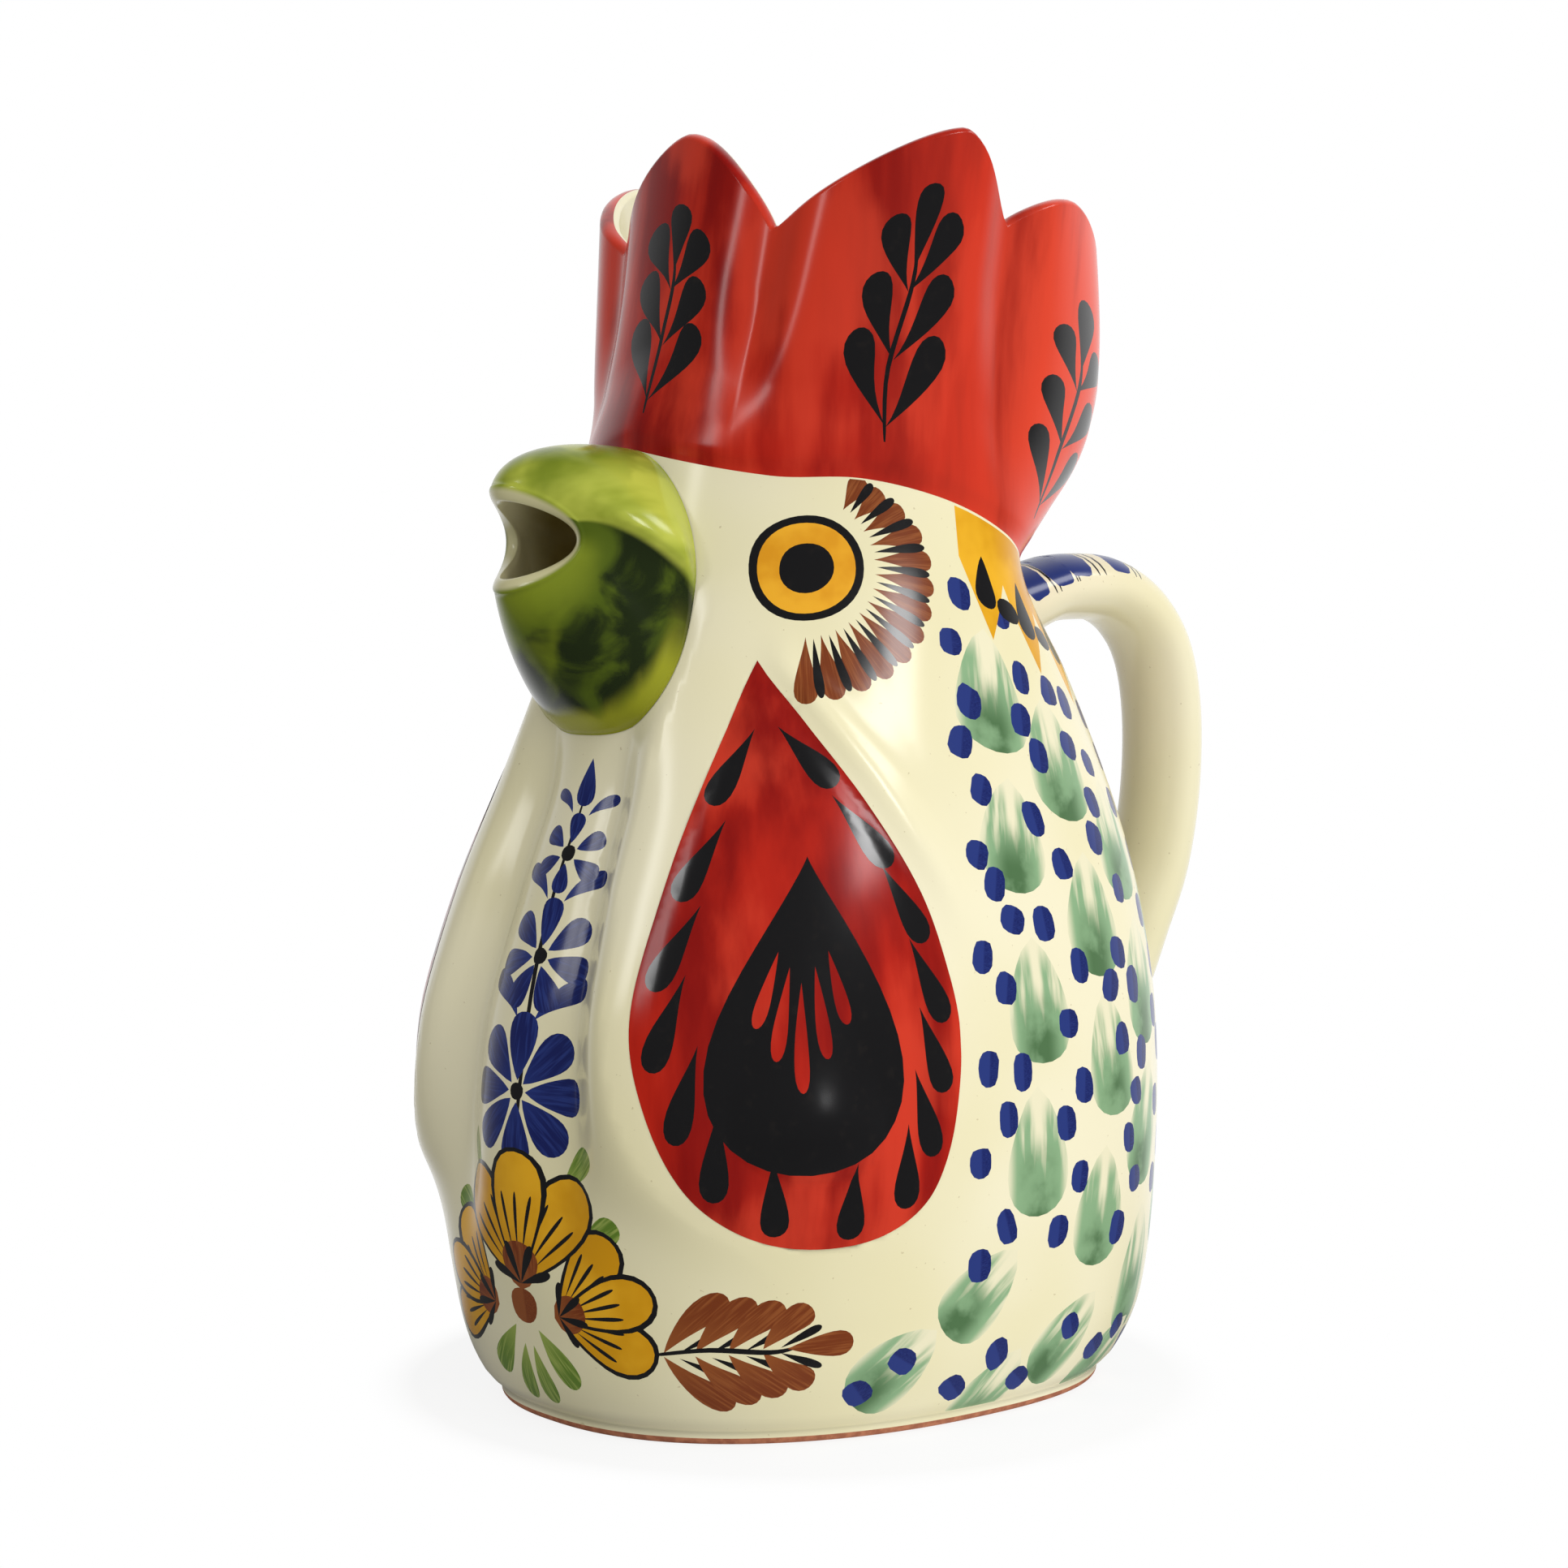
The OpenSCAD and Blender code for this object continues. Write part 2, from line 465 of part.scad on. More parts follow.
module handle() {
  n = handle_steps * (len(handle_line) - 1);
  rings = [
    root_ring(handle_root_shares[0], 1, handle_flare_share / 2),
    root_ring(handle_root_shares[0], 1, handle_flare_share),
    for (i = [0:n]) handle_ring(i / handle_steps),
    root_ring(handle_root_shares[1], -1, handle_flare_share),
    root_ring(handle_root_shares[1], -1, handle_flare_share / 2)];
  last = (len(rings) - 1) * handle_sides;
  color("ivory") seated()
  polyhedron(joined(rings), [
    [for (j = [0:handle_sides - 1]) j],
    each skin(handle_sides, len(rings)),
    [for (j = [handle_sides - 1:-1:0]) last + j]]);
}

body_shell();
foot();
comb_crown();
beak_spout();
wattle_left();
wattle_right();
handle();
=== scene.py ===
# Rooster pitcher: the looks. Every visible surface is a fine mesh over the same
# shape as the solid it replaces, and the brushwork is cut into its faces.
import json
import math
from functools import cache
import bpy
import bmesh
import numpy as np
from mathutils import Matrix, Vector
from mathutils.geometry import delaunay_2d_cdt

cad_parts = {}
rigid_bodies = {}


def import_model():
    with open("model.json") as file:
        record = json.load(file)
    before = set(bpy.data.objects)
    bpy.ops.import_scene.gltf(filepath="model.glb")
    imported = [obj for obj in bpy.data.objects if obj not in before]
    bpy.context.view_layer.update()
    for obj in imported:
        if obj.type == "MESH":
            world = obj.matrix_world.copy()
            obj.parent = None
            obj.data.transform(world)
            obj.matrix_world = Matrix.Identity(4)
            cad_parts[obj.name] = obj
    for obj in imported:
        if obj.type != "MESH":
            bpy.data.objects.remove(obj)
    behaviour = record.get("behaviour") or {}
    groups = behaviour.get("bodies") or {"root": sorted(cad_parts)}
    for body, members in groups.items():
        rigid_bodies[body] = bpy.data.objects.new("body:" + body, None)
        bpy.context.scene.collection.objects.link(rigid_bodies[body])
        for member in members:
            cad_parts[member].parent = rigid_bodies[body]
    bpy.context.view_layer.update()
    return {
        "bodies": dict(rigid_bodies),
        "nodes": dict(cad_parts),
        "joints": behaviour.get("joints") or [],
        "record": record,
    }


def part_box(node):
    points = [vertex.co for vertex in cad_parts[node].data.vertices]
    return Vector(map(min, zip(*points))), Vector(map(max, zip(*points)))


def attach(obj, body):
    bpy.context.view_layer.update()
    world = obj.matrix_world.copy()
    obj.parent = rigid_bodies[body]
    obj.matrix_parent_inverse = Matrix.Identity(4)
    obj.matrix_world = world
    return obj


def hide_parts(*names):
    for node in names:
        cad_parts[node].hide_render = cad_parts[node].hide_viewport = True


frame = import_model()
MM = 0.001
rng = np.random.default_rng(7)

# Sizes of the solids, in millimetres. Reaches are from the vessel's middle line.
body_h = 220
belly_w = 151
chest_reach = 93
back_reach = 75
wall = 4.8
floor_t = 5
foot_h = 3
foot_edge = 1.6
swell_h = 7.5
valley_d = 3.5
chest_h = 1.5
ridge_h = 1.6
wattle_drop = 48
wattle_bottom = 46
wattle_w = 60.6
drop_h = 4.5
comb_rise = 73
comb_w = 127
comb_front = 60
comb_back = 78
lobe_valley_d = 3.5
fold_h = 1.2
beak_l = 31
mouth_drop = 22
mouth_w = 29.5
mouth_h = 23
mouth_back = 12.5
lip = 3.4
throat_r = 12
handle_w = 24
handle_t = 17
handle_reach = 119.5
handle_drop = 29.5
handle_bottom = 66
total_h = body_h + comb_rise
wattle_top = body_h - wattle_drop
wattle_span = math.degrees(wattle_w / belly_w)
mouth_z = body_h - mouth_drop
throat_z = mouth_z - throat_r / 2
handle_top = body_h - handle_drop
seat = 0.2
step = 0.5

valley_angle = 14
valley_spread = 4.5
chest_spread = 9
ridge_gap = 5
ridge_spread = 2.6
notch_spread = 6

# Outlines: height, half width, front reach and back reach, as shares
body_shares = [
    [0.000, 0.755, 0.825, 0.805], [0.032, 0.845, 0.914, 0.927],
    [0.100, 0.930, 0.967, 1.000], [0.245, 1.000, 1.000, 1.000],
    [0.405, 1.000, 0.973, 0.999], [0.540, 0.945, 0.873, 0.953],
    [0.655, 0.875, 0.783, 0.876], [0.770, 0.790, 0.723, 0.732],
    [0.880, 0.720, 0.670, 0.469], [1.000, 0.675, 0.617, 0.569]]
comb_shares = [
    [0.651, 0.850, 1.000, 0.440], [0.678, 0.833, 0.984, 0.520],
    [0.708, 0.817, 0.968, 0.670], [0.742, 0.817, 0.937, 0.845],
    [0.776, 0.833, 0.889, 0.950], [0.827, 0.867, 0.841, 1.000],
    [0.895, 0.917, 0.778, 0.955], [1.003, 1.000, 0.683, 0.810]]
body_table = np.array(body_shares) * [body_h, belly_w / 2, chest_reach, back_reach]
comb_table = np.array(comb_shares) * [total_h, comb_w / 2, comb_front, comb_back]
middle_y = (body_table[0][2] - body_table[0][3]) / 2
join_share = 0.12
valley_shares = [0.12, 0.30, 0.62, 0.74]
chest_shares = [0.10, 0.30, 0.55, 0.70]
ridge_shares = [0.45, 0.68, 0.92, 1.08]
fullness_shares = [0.50, 0.82]
belly_n = 2.35
back_n = 2.25
base_shares = [[0, 1.000], [40, 0.968], [60, 0.966], [80, 0.948],
               [105, 0.914], [130, 0.886], [180, 0.873]]
base_table = np.array(base_shares) * [1, body_h]
rim_shares = np.array([
    [0, 1.000, 1.60], [29, 0.917, 1.45], [79, 0.990, 1.60], [98, 0.925, 1.80],
    [119, 0.951, 1.75], [145, 0.880, 1.80], [180, 0.930, 1.80]])
wattle_shares = [
    [0, 0], [0.10, 0.29], [0.25, 0.63], [0.37, 0.81], [0.50, 0.94], [0.60, 1.00],
    [0.68, 0.97], [0.78, 0.84], [0.87, 0.61], [0.95, 0.27], [1, 0]]
wattle_line_shares = [[-0.2, 55], [0, 54.5], [0.14, 53], [0.45, 50], [0.60, 48.4],
                      [0.75, 45.2], [0.90, 41.8], [1, 39.4], [1.2, 38]]
swell_line_shares = [
    [-0.15, 24, 56, 70], [0, 18, 43, 78], [0.07, 17, 35, 82], [0.19, 15, 28, 86],
    [0.35, 13, 24, 88], [0.54, 11.5, 22, 84], [0.68, 10.5, 21, 78], [0.83, 11, 21.5, 70],
    [1.02, 16, 27, 62], [1.15, 20, 32, 58]]
back_slope = 1.3
swell_shares = [[-0.15, 0], [-0.05, 0.12], [0.03, 0.40], [0.11, 0.76], [0.25, 0.96],
                [0.45, 1.00], [0.62, 0.97], [0.80, 0.78], [0.92, 0.52], [1.05, 0.18], [1.15, 0]]
inner_relief_share = 0.75
comb_back_angles = [90, 140]
fold_shares = [0, 0.08, 0.10, 0.35]
notch_shares = [0.10, 0.75]
comb_wall_shares = [0, 0.25]
rim_h = wall / 3


def mix(a, b, t):
    return a + (b - a) * t


def ease(a, b, x):
    t = np.clip((x - a) / (b - a), 0, 1)
    return t * t * (3 - 2 * t)


def bell(x, s):
    return np.exp(-x * x / (2 * s * s))


def sind(a):
    return np.sin(np.radians(a))


def cosd(a):
    return np.cos(np.radians(a))


def pack(*values):
    """Joins values into points."""
    return np.stack(np.broadcast_arrays(*values), -1)


def unit(v):
    return v / np.maximum(np.linalg.norm(v, axis=-1, keepdims=True), 1e-9)


def cubic(p, t):
    """Bezier curve over four points."""
    r = 1 - t
    return r ** 3 * p[0] + 3 * r * r * t * p[1] + 3 * r * t * t * p[2] + t ** 3 * p[3]


def spline(points, t):
    """Curve through points: t is 0 at the first of them and 1 at the next."""
    last = len(points) - 1
    t = np.clip(t, 0, last)
    i = np.minimum(np.floor(t).astype(int), last - 1)
    u = (t - i)[..., None]
    p, q, r, s = (points[np.clip(i + k, 0, last)] for k in (-1, 0, 1, 2))
    return (2 * q + (r - p) * u + (2 * p - 5 * q + 4 * r - s) * u * u
            + (3 * q - p - 3 * r + s) * u ** 3) / 2


def curve(table, x, k):
    """Smooth curve through the rows of a table: column k as a function of column 0."""
    t = np.asarray(table, float)
    x = np.asarray(x, float)
    low = np.maximum(np.arange(len(t)) - 1, 0)
    high = np.minimum(np.arange(len(t)) + 1, len(t) - 1)
    slope = (t[high, k] - t[low, k]) / (t[high, 0] - t[low, 0])
    i = np.clip(np.searchsorted(t[:, 0], x, side="right") - 1, 0, len(t) - 2)
    h = t[i + 1, 0] - t[i, 0]
    u = np.clip((x - t[i, 0]) / h, 0, 1)
    u2, u3 = u * u, u * u * u
    return ((2 * u3 - 3 * u2 + 1) * t[i, k] + (u3 - 2 * u2 + u) * h * slope[i]
            + (3 * u2 - 2 * u3) * t[i + 1, k] + (u3 - u2) * h * slope[i + 1])


def curves(table, x):
    return [curve(table, x, k) for k in (1, 2, 3)]


def egg(w, f, b, n, a):
    """Egg-shaped section with half width w, front reach f, back reach b and fullness n."""
    k = (np.abs(cosd(a)) ** n + np.abs(sind(a)) ** n) ** (-1 / n)
    c, s = cosd(a) * k, sind(a) * k
    return pack(w * s, -(f + b) / 2 * c - (f - b) / 2 * c * c)


def belly_fullness(z):
    return mix(belly_n, 2, ease(fullness_shares[0] * body_h, fullness_shares[1] * body_h, z))


def plain_body(a, z):
    return egg(*curves(body_table, z), belly_fullness(z), a)


# Relief of the chest and cheeks, outwards from the plain body
def wattle_share(z):
    return (z - wattle_bottom) / (wattle_top - wattle_bottom)


def wattle_mid(z):
    return curve(wattle_line_shares, wattle_share(z), 1)


def wattle_half(z):
    v = wattle_share(z)
    half = wattle_span * curve(wattle_shares, np.sqrt(np.clip(v, 0, 1)), 1)
    return np.where((v <= 0) | (v >= 1), 0, half)


def swelling(a, z):
    v = wattle_share(z)
    start, crest, end = curves(swell_line_shares, v)
    front = ease(start, crest, np.abs(a))
    back = 1 - np.clip((np.abs(a) - crest) / (end - crest), 0, 1)
    return swell_h * curve(swell_shares, v, 1) * front * back ** back_slope


def within(s, x):
    """Rises over the first two of four shares and falls over the others."""
    return ease(s[0], s[1], x) * (1 - ease(s[2], s[3], x))


def valley(a, z):
    return valley_d * bell(np.abs(a) - valley_angle, valley_spread) * within(valley_shares, z / body_h)


def chest(a, z):
    return chest_h * bell(a, chest_spread) * within(chest_shares, z / body_h)


def ridge(a, z):
    beside = np.abs(a) - wattle_mid(z) - wattle_half(z) - ridge_gap
    return ridge_h * bell(beside, ridge_spread) * within(ridge_shares, wattle_share(z))


def relief(a, z):
    return swelling(a, z) - valley(a, z) + chest(a, z) + ridge(a, z)


def outward(section, a, z):
    """Level normal of a section."""
    t = unit(section(a + step, z) - section(a - step, z))
    return pack(t[..., 1], -t[..., 0])


def raised(section, a, z, r):
    """Point of a section at angle a and height z, moved outwards by r."""
    a, z, r = np.broadcast_arrays(*(np.asarray(v, float) for v in (a, z, r)))
    p = section(a, z) + outward(section, a, z) * r[..., None]
    return pack(p[..., 0], p[..., 1], z)


def body_at(a, z, r):
    return raised(plain_body, a, z, r)


def lean_of(section, a, z):
    """How much a wall that leans needs to be wider along the horizontal."""
    d = ((section(a, z + step) - section(a, z - step)) * outward(section, a, z)).sum(-1) / (2 * step)
    return np.sqrt(1 + d * d)


def inner_reach(a, z):
    return inner_relief_share * relief(a, z) - wall * lean_of(plain_body, a, z)


def base_z(a):
    return curve(base_table, np.abs(a), 1)


# The comb
def plain_comb(a, z):
    return egg(*curves(comb_table, z), mix(2, back_n, ease(*comb_back_angles, np.abs(a))), a)


def comb_core(a, z):
    z0 = base_z(a)
    gap = plain_body(a, z0) - plain_comb(a, z0)
    return plain_comb(a, z) + gap * (1 - ease(0, join_share * body_h, z - z0))[..., None]


def comb_relief(a, v):
    notch = np.max([bell(np.abs(a) - n, notch_spread) for n in rim_shares[1:-1:2, 0]], axis=0)
    return fold_h * within(fold_shares, v) - lobe_valley_d * notch * ease(*notch_shares, v)


def rim_z(a):
    b = np.abs(a)
    i = np.clip(np.searchsorted(rim_shares[:, 0], b, side="right") - 1, 0, len(rim_shares) - 2)
    p, q = rim_shares[i], rim_shares[i + 1]
    u = np.clip((b - p[..., 0]) / (q[..., 0] - p[..., 0]), 0, 1)
    falling = mix(q[..., 1], p[..., 1], 1 - u ** p[..., 2])
    rising = mix(p[..., 1], q[..., 1], 1 - (1 - u) ** p[..., 2])
    return total_h * np.where(i % 2 == 0, falling, rising)


def comb_height(a, v):
    return mix(base_z(a), rim_z(a) - rim_h, v)


def comb_outer(a, v):
    return raised(comb_core, a, comb_height(a, v), comb_relief(a, v))


def comb_wall(a, v):
    below, here = lean_of(plain_body, a, base_z(a)), lean_of(comb_core, a, comb_height(a, v))
    return wall * mix(below, here, ease(*comb_wall_shares, v))


def comb_inner(a, v):
    z = comb_height(a, v)
    return raised(comb_core, a, z, comb_relief(a, v) * inner_relief_share - comb_wall(a, v))


def rounded(outer, inner, turn, top):
    """A round edge: turn 0 is its outer side, 1 its inner side."""
    share = ((1 - cosd(180 * turn)) / 2)[..., None]
    return mix(outer, inner, share) + np.array(top) * sind(180 * turn)[..., None]


def comb_rim(a, turn):
    one = np.ones_like(a)
    return rounded(comb_outer(a, one), comb_inner(a, one), turn, [0, 0, rim_h])


# The beak: an angle of 0 is its ridge, 90 its side and 180 its underside
beak_root_shares = [0.852, 0.147]
beak_span = 24.7
crease_h = 2.4
hollow_d = 1.3
low_n = 2.9
ledge_shares = [0, 0.2, 0.6, 1]
ledge_root_angle = 84
ledge_mouth_angle = 66
ledge_spread = 15
ledge_under_spread = 4.5
hollow_angle = 24
hollow_spread = 10
beak_shares = [[0.875, 1.020, -1.565, 0.256, 0.071, 0.530],
               [0.714, 1.000, -1.040, 0.862, 0.441, 0.800]]
mouth_shares = [0.500, 0.560, -0.500, 1.000, 1 - mouth_back / beak_l, 0.968]
face_reach = curve(body_table, throat_z, 2)


def fuller(x, g, n):
    """Sine or cosine of an angle, pushed outwards on the underside by its fullness."""
    return np.sign(x) * np.abs(x) ** np.where(cosd(g) < 0, 2 / n, 1)


def beak_ring(s, g, n):
    c, d = cosd(g), sind(g)
    reach = s[4] * d * d + np.where(c > 0, s[3], s[5]) * c * c
    return pack(s[0] * mouth_w * fuller(d, g, n), -face_reach - beak_l * reach,
                mouth_z + mouth_h * mix(s[2], s[1], (1 + fuller(c, g, n)) / 2))


def on_head(a, z):
    return body_at(a, z, relief(a, z) + seat)


def beak_root(g, size=1.0):
    z = body_h * (beak_root_shares[0] + size * beak_root_shares[1] * fuller(cosd(g), g, low_n))
    return on_head(beak_span * size * fuller(sind(g), g, low_n), z)


def beak_ledge(g, t):
    side = np.where(np.mod(g, 360) < 180, 1, -1)
    h = np.abs(np.mod(g + 180, 360) - 180)
    k = h - mix(ledge_root_angle, ledge_mouth_angle, t)
    ledge = crease_h * bell(k, np.where(k < 0, ledge_spread, ledge_under_spread))
    hollow = hollow_d * bell(k - hollow_angle, hollow_spread)
    return pack(side * within(ledge_shares, t) * (ledge - hollow), 0, 0)


def beak_skin(g, t):
    p = [beak_root(g), beak_ring(beak_shares[0], g, low_n),
         beak_ring(beak_shares[1], g, mix(low_n, 2, 0.5)), beak_ring(mouth_shares, g, 2)]
    return cubic(p, t[..., None]) + beak_ledge(g, t)


root_fillet = 0.03    # share of the beak's length over which it turns out of the head
fillet_size = 0.99    # size of the ring that pulls the beak out of its root
passage_bow = 0.4     # how far the passage sags, as a share of the lip


def beak_outer(g, t):
    g, t = np.broadcast_arrays(g, t)
    u = np.clip(t / root_fillet, 0, 1)[..., None]
    end = beak_skin(g, np.full_like(t, root_fillet))
    turn = (1 - u) ** 2 * beak_root(g) + 2 * u * (1 - u) * beak_root(g, fillet_size) + u * u * end
    return np.where(u < 1, turn, beak_skin(g, t))


def mouth_inner(g):
    p = beak_ring(mouth_shares, g, 2)
    return pack(p[..., 0] * (1 - 2 * lip / mouth_w), p[..., 1] + lip / 4,
                mix(mouth_z, p[..., 2], 1 - 2 * lip / mouth_h))


def throat_angle(x, z):
    return np.degrees(np.arcsin(x / curve(body_table, z, 1)))


def beak_throat(g):
    z = throat_z + throat_r * cosd(g)
    return on_head(throat_angle(throat_r * sind(g), z), z)


def beak_inner(g, t):
    push = pack(sind(g), 0, cosd(g) - passage_bow)
    return mix(mouth_inner(g), beak_throat(g), t[..., None]) + lip * push * sind(180 * t)[..., None]


def beak_lip(g, turn):
    return rounded(beak_outer(g, np.ones_like(g)), mouth_inner(g), turn, [0, -lip / 4, 0])


# The handle
handle_shares = np.array([
    [0.520, 0.968], [0.610, 0.990], [0.693, 1.000], [0.800, 0.996],
    [0.898, 0.951], [0.969, 0.865], [1.000, 0.735], [0.996, 0.571],
    [0.961, 0.416], [0.898, 0.286], [0.843, 0.180], [0.787, 0.106]])
handle_root_shares = [0.915, 0.025]
handle_line = pack(handle_shares[:, 0] * handle_reach,
                   mix(handle_bottom, handle_top, handle_shares[:, 1]))
handle_last = len(handle_line) - 1
line_step = 0.01   # step along that line for its direction


def back_y(x, z):
    """How far back the body reaches at x and z."""
    w, f, b = curves(body_table, z)
    n = belly_fullness(z)
    c = -(1 - (np.abs(x) / w) ** n) ** (1 / n)
    return -(f + b) / 2 * c - (f - b) / 2 * c * c


def handle_ring(g, t):
    e = spline(handle_line, t + line_step) - spline(handle_line, t - line_step)
    n = unit(pack(-e[..., 1], e[..., 0]))
    p = spline(handle_line, t) + n * (handle_t / 2 * sind(g))[..., None]
    return pack(handle_w / 2 * cosd(g), p[..., 0], p[..., 1])


def root_ring(g, share, turned, size):
    x = size * handle_w / 2 * cosd(g)
    z = mix(handle_bottom, handle_top, share) + turned * size * handle_t / 2 * sind(g)
    return pack(x, back_y(x, z) + seat, z)


root_flare = 1.25   # how much wider a root is than the strap, where it meets the body
root_neck = 1.02    # and how much wider the ring is that pulls the root out of the body
root_length = 1.2   # how far up the strap its root reaches, in points of its line
root_lead = 0.45    # how much of that the root leaves in the strap's own direction


def handle_at(g, s):
    """s is below 0 on the upper root and above 1 on the lower one."""
    g, s = np.broadcast_arrays(np.asarray(g, float), np.asarray(s, float))
    strap = handle_ring(g, mix(root_length, handle_last - root_length, np.clip(s, 0, 1)))
    upper = (handle_root_shares[0], 1, s + 1, root_length - root_lead)
    lower = (handle_root_shares[1], -1, 2 - s, handle_last - root_length + root_lead)
    for share, turned, u, lead in (upper, lower):
        u = np.clip(u, 0, 1)[..., None]
        wide, near = (root_ring(g, share, turned, size) for size in (root_flare, root_neck))
        root = cubic([wide, near, handle_ring(g, np.full_like(g, lead)), strap], u)
        strap = np.where(u < 1, root, strap)
    return strap


# Meshes: parts are lists of points, normals, faces, inks and brush coordinates
free = (-math.inf, math.inf)
nudge = 0.3   # step of the differences that give a canvas its normals


def normals_of(surface, x, y, hx=nudge, hy=nudge, span_x=free, span_y=free):
    """Outward normals by differences, within the surface's own range."""
    x0, x1 = np.clip(x - hx, *span_x), np.clip(x + hx, *span_x)
    y0, y1 = np.clip(y - hy, *span_y), np.clip(y + hy, *span_y)
    return unit(np.cross(surface(x1, y) - surface(x0, y), surface(x, y1) - surface(x, y0)))


def row_normals(surface, xs, y, span_y):
    """Normals along one row of a skin."""
    return normals_of(surface, xs, np.full_like(xs, y), span_y=span_y)


class Part:
    """Faces of one kind, to be joined with others into a piece."""

    def __init__(self, points, normals, faces, inks, brush):
        self.points, self.normals, self.faces = points, normals, faces
        self.inks, self.brush = inks, brush


def sheet(surface, xs, ys, ink, flip=False, brush=None, periodic=False):
    """A grid of quads over a surface of two parameters."""
    x, y = np.meshgrid(xs, ys, indexing="ij")
    span_x = free if periodic else (xs[0], xs[-1])
    n = normals_of(surface, x, y, (xs[1] - xs[0]) / 4, (ys[1] - ys[0]) / 4, span_x, (ys[0], ys[-1]))
    k = np.arange(x.size).reshape(x.shape)
    quads = np.stack([k[:-1, :-1], k[1:, :-1], k[1:, 1:], k[:-1, 1:]], -1).reshape(-1, 4)
    if flip:
        quads, n = quads[:, ::-1], -n
    brushes = pack(x, y, 0) if brush is None else brush(x, y)
    faces = [tuple(f) for f in quads.tolist()]
    return Part(surface(x, y).reshape(-1, 3), n.reshape(-1, 3), faces, np.full(len(faces), ink),
                brushes.reshape(-1, 3)[quads].reshape(-1, 3))


def weld(one, i, other, j, columns):
    """Gives two sheets the same normals along the edge that they share."""
    p, q = one.normals.reshape(columns, -1, 3), other.normals.reshape(columns, -1, 3)
    p[:, i] = q[:, j] = unit(p[:, i] + q[:, j])
    one.normals, other.normals = p.reshape(-1, 3), q.reshape(-1, 3)


def disc(ring, z, up, ink, rim=None):
    """A flat disc inside a ring of points, whose rim can share a skin's normals."""
    n = len(ring)
    faces = [(j, (j + 1) % n, n)[::up] for j in range(n)]
    normals = np.tile([0.0, 0.0, up], (n + 1, 1))
    if rim is not None:
        normals[:n] = rim
    points = np.vstack([ring, [0, ring[:, 1].mean(), z]])
    return Part(points, normals, faces, np.full(n, ink), np.zeros((3 * n, 3)))


def store(mesh, name, domain, vectors):
    data = mesh.attributes.new(name, "FLOAT_VECTOR", domain).data
    data.foreach_set("vector", np.vstack(vectors).astype(np.float32).ravel())


def add(name, data):
    """A new object of the scene."""
    obj = bpy.data.objects.new(name, data)
    bpy.context.scene.collection.objects.link(obj)
    return obj


def piece(name, parts, stands_for):
    """Joins parts into one object in metres, with smooth shading and its inks as materials."""
    names = list(INKS)
    inks = np.concatenate([[names.index(i) for i in p.inks] for p in parts])
    used, inks = np.unique(inks, return_inverse=True)
    starts = np.cumsum([0] + [len(p.points) for p in parts])
    faces = [tuple(i + s for i in f) for p, s in zip(parts, starts) for f in p.faces]
    points = (np.vstack([p.points for p in parts]) + [0, middle_y, 0]) * MM
    points = np.clip(points, *(np.array(c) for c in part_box(stands_for)))
    mesh = bpy.data.meshes.new(name)
    mesh.from_pydata(points.tolist(), [], faces)
    store(mesh, "smooth_normal", "POINT", [p.normals for p in parts])
    store(mesh, "brush", "CORNER", [p.brush for p in parts])
    mesh.polygons.foreach_set("material_index", inks.astype(np.int32))
    bm = bmesh.new()
    bm.from_mesh(mesh)
    bmesh.ops.remove_doubles(bm, verts=bm.verts, dist=2e-6)
    bmesh.ops.dissolve_degenerate(bm, edges=bm.edges, dist=1e-7)
    bm.to_mesh(mesh)
    bm.free()
    kept = np.zeros(len(mesh.vertices) * 3, np.float32)
    mesh.attributes["smooth_normal"].data.foreach_get("vector", kept)
    mesh.attributes.remove(mesh.attributes["smooth_normal"])
    for i in used:
        mesh.materials.append(glaze(names[i]))
    mesh.polygons.foreach_set("use_smooth", np.ones(len(mesh.polygons), bool))
    mesh.normals_split_custom_set_from_vertices(kept.reshape(-1, 3).tolist())
    obj = add(name, mesh)
    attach(obj, "root")
    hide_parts(stands_for)


# Brush shapes: closed outlines in millimetres, drawn along +x from the origin
def wobble(n, amount):
    """A slow random waver around a closed outline."""
    t = np.arange(n) / n * 2 * np.pi
    total = np.zeros(n)
    for k in (2, 3, 5):
        total += rng.normal() * np.cos(k * t + rng.uniform(0, 2 * np.pi)) / k
    return 1 + amount * total


def leaf(length, width, bend=0.0, tip=0.9, blunt=4.0):
    """A brush stroke that starts as a point, swells and ends round."""
    round_share = 0.2
    long_part = np.linspace(0, 1 - round_share, 7, endpoint=False)
    t = np.concatenate([long_part, 1 - round_share * np.linspace(1, 0, 5) ** 2])
    half = t ** tip * np.sqrt(np.maximum(1 - t ** blunt, 0))
    half *= width / 2 / half.max() * wobble(2 * len(t), 0.05)[:len(t)]
    spine = pack(length * t, bend * length * 4 * t * (1 - t))
    aside = half[:, None] * unit(pack(-bend * 4 * (1 - 2 * t), 1))
    return np.vstack([spine + aside, (spine - aside)[1:-1][::-1]])


def spot(width, height, n=16, full=2.3, amount=0.05):
    """A dab: a round or oval patch about the origin."""
    t = np.arange(n) / n * 2 * np.pi
    c, s = np.cos(t), np.sin(t)
    r = (np.abs(c) ** full + np.abs(s) ** full) ** (-1 / full) * wobble(n, amount)
    return pack(width / 2 * c * r, height / 2 * s * r)


def drop(length, width, n=40):
    """A teardrop: a point at the origin and a round end."""
    t = np.arange(n) / n * 2 * np.pi
    y = np.sin(t) * np.sin(t / 2) ** 1.3
    return pack(length / 2 * (1 - np.cos(t)), width / 2 * y / np.abs(y).max())


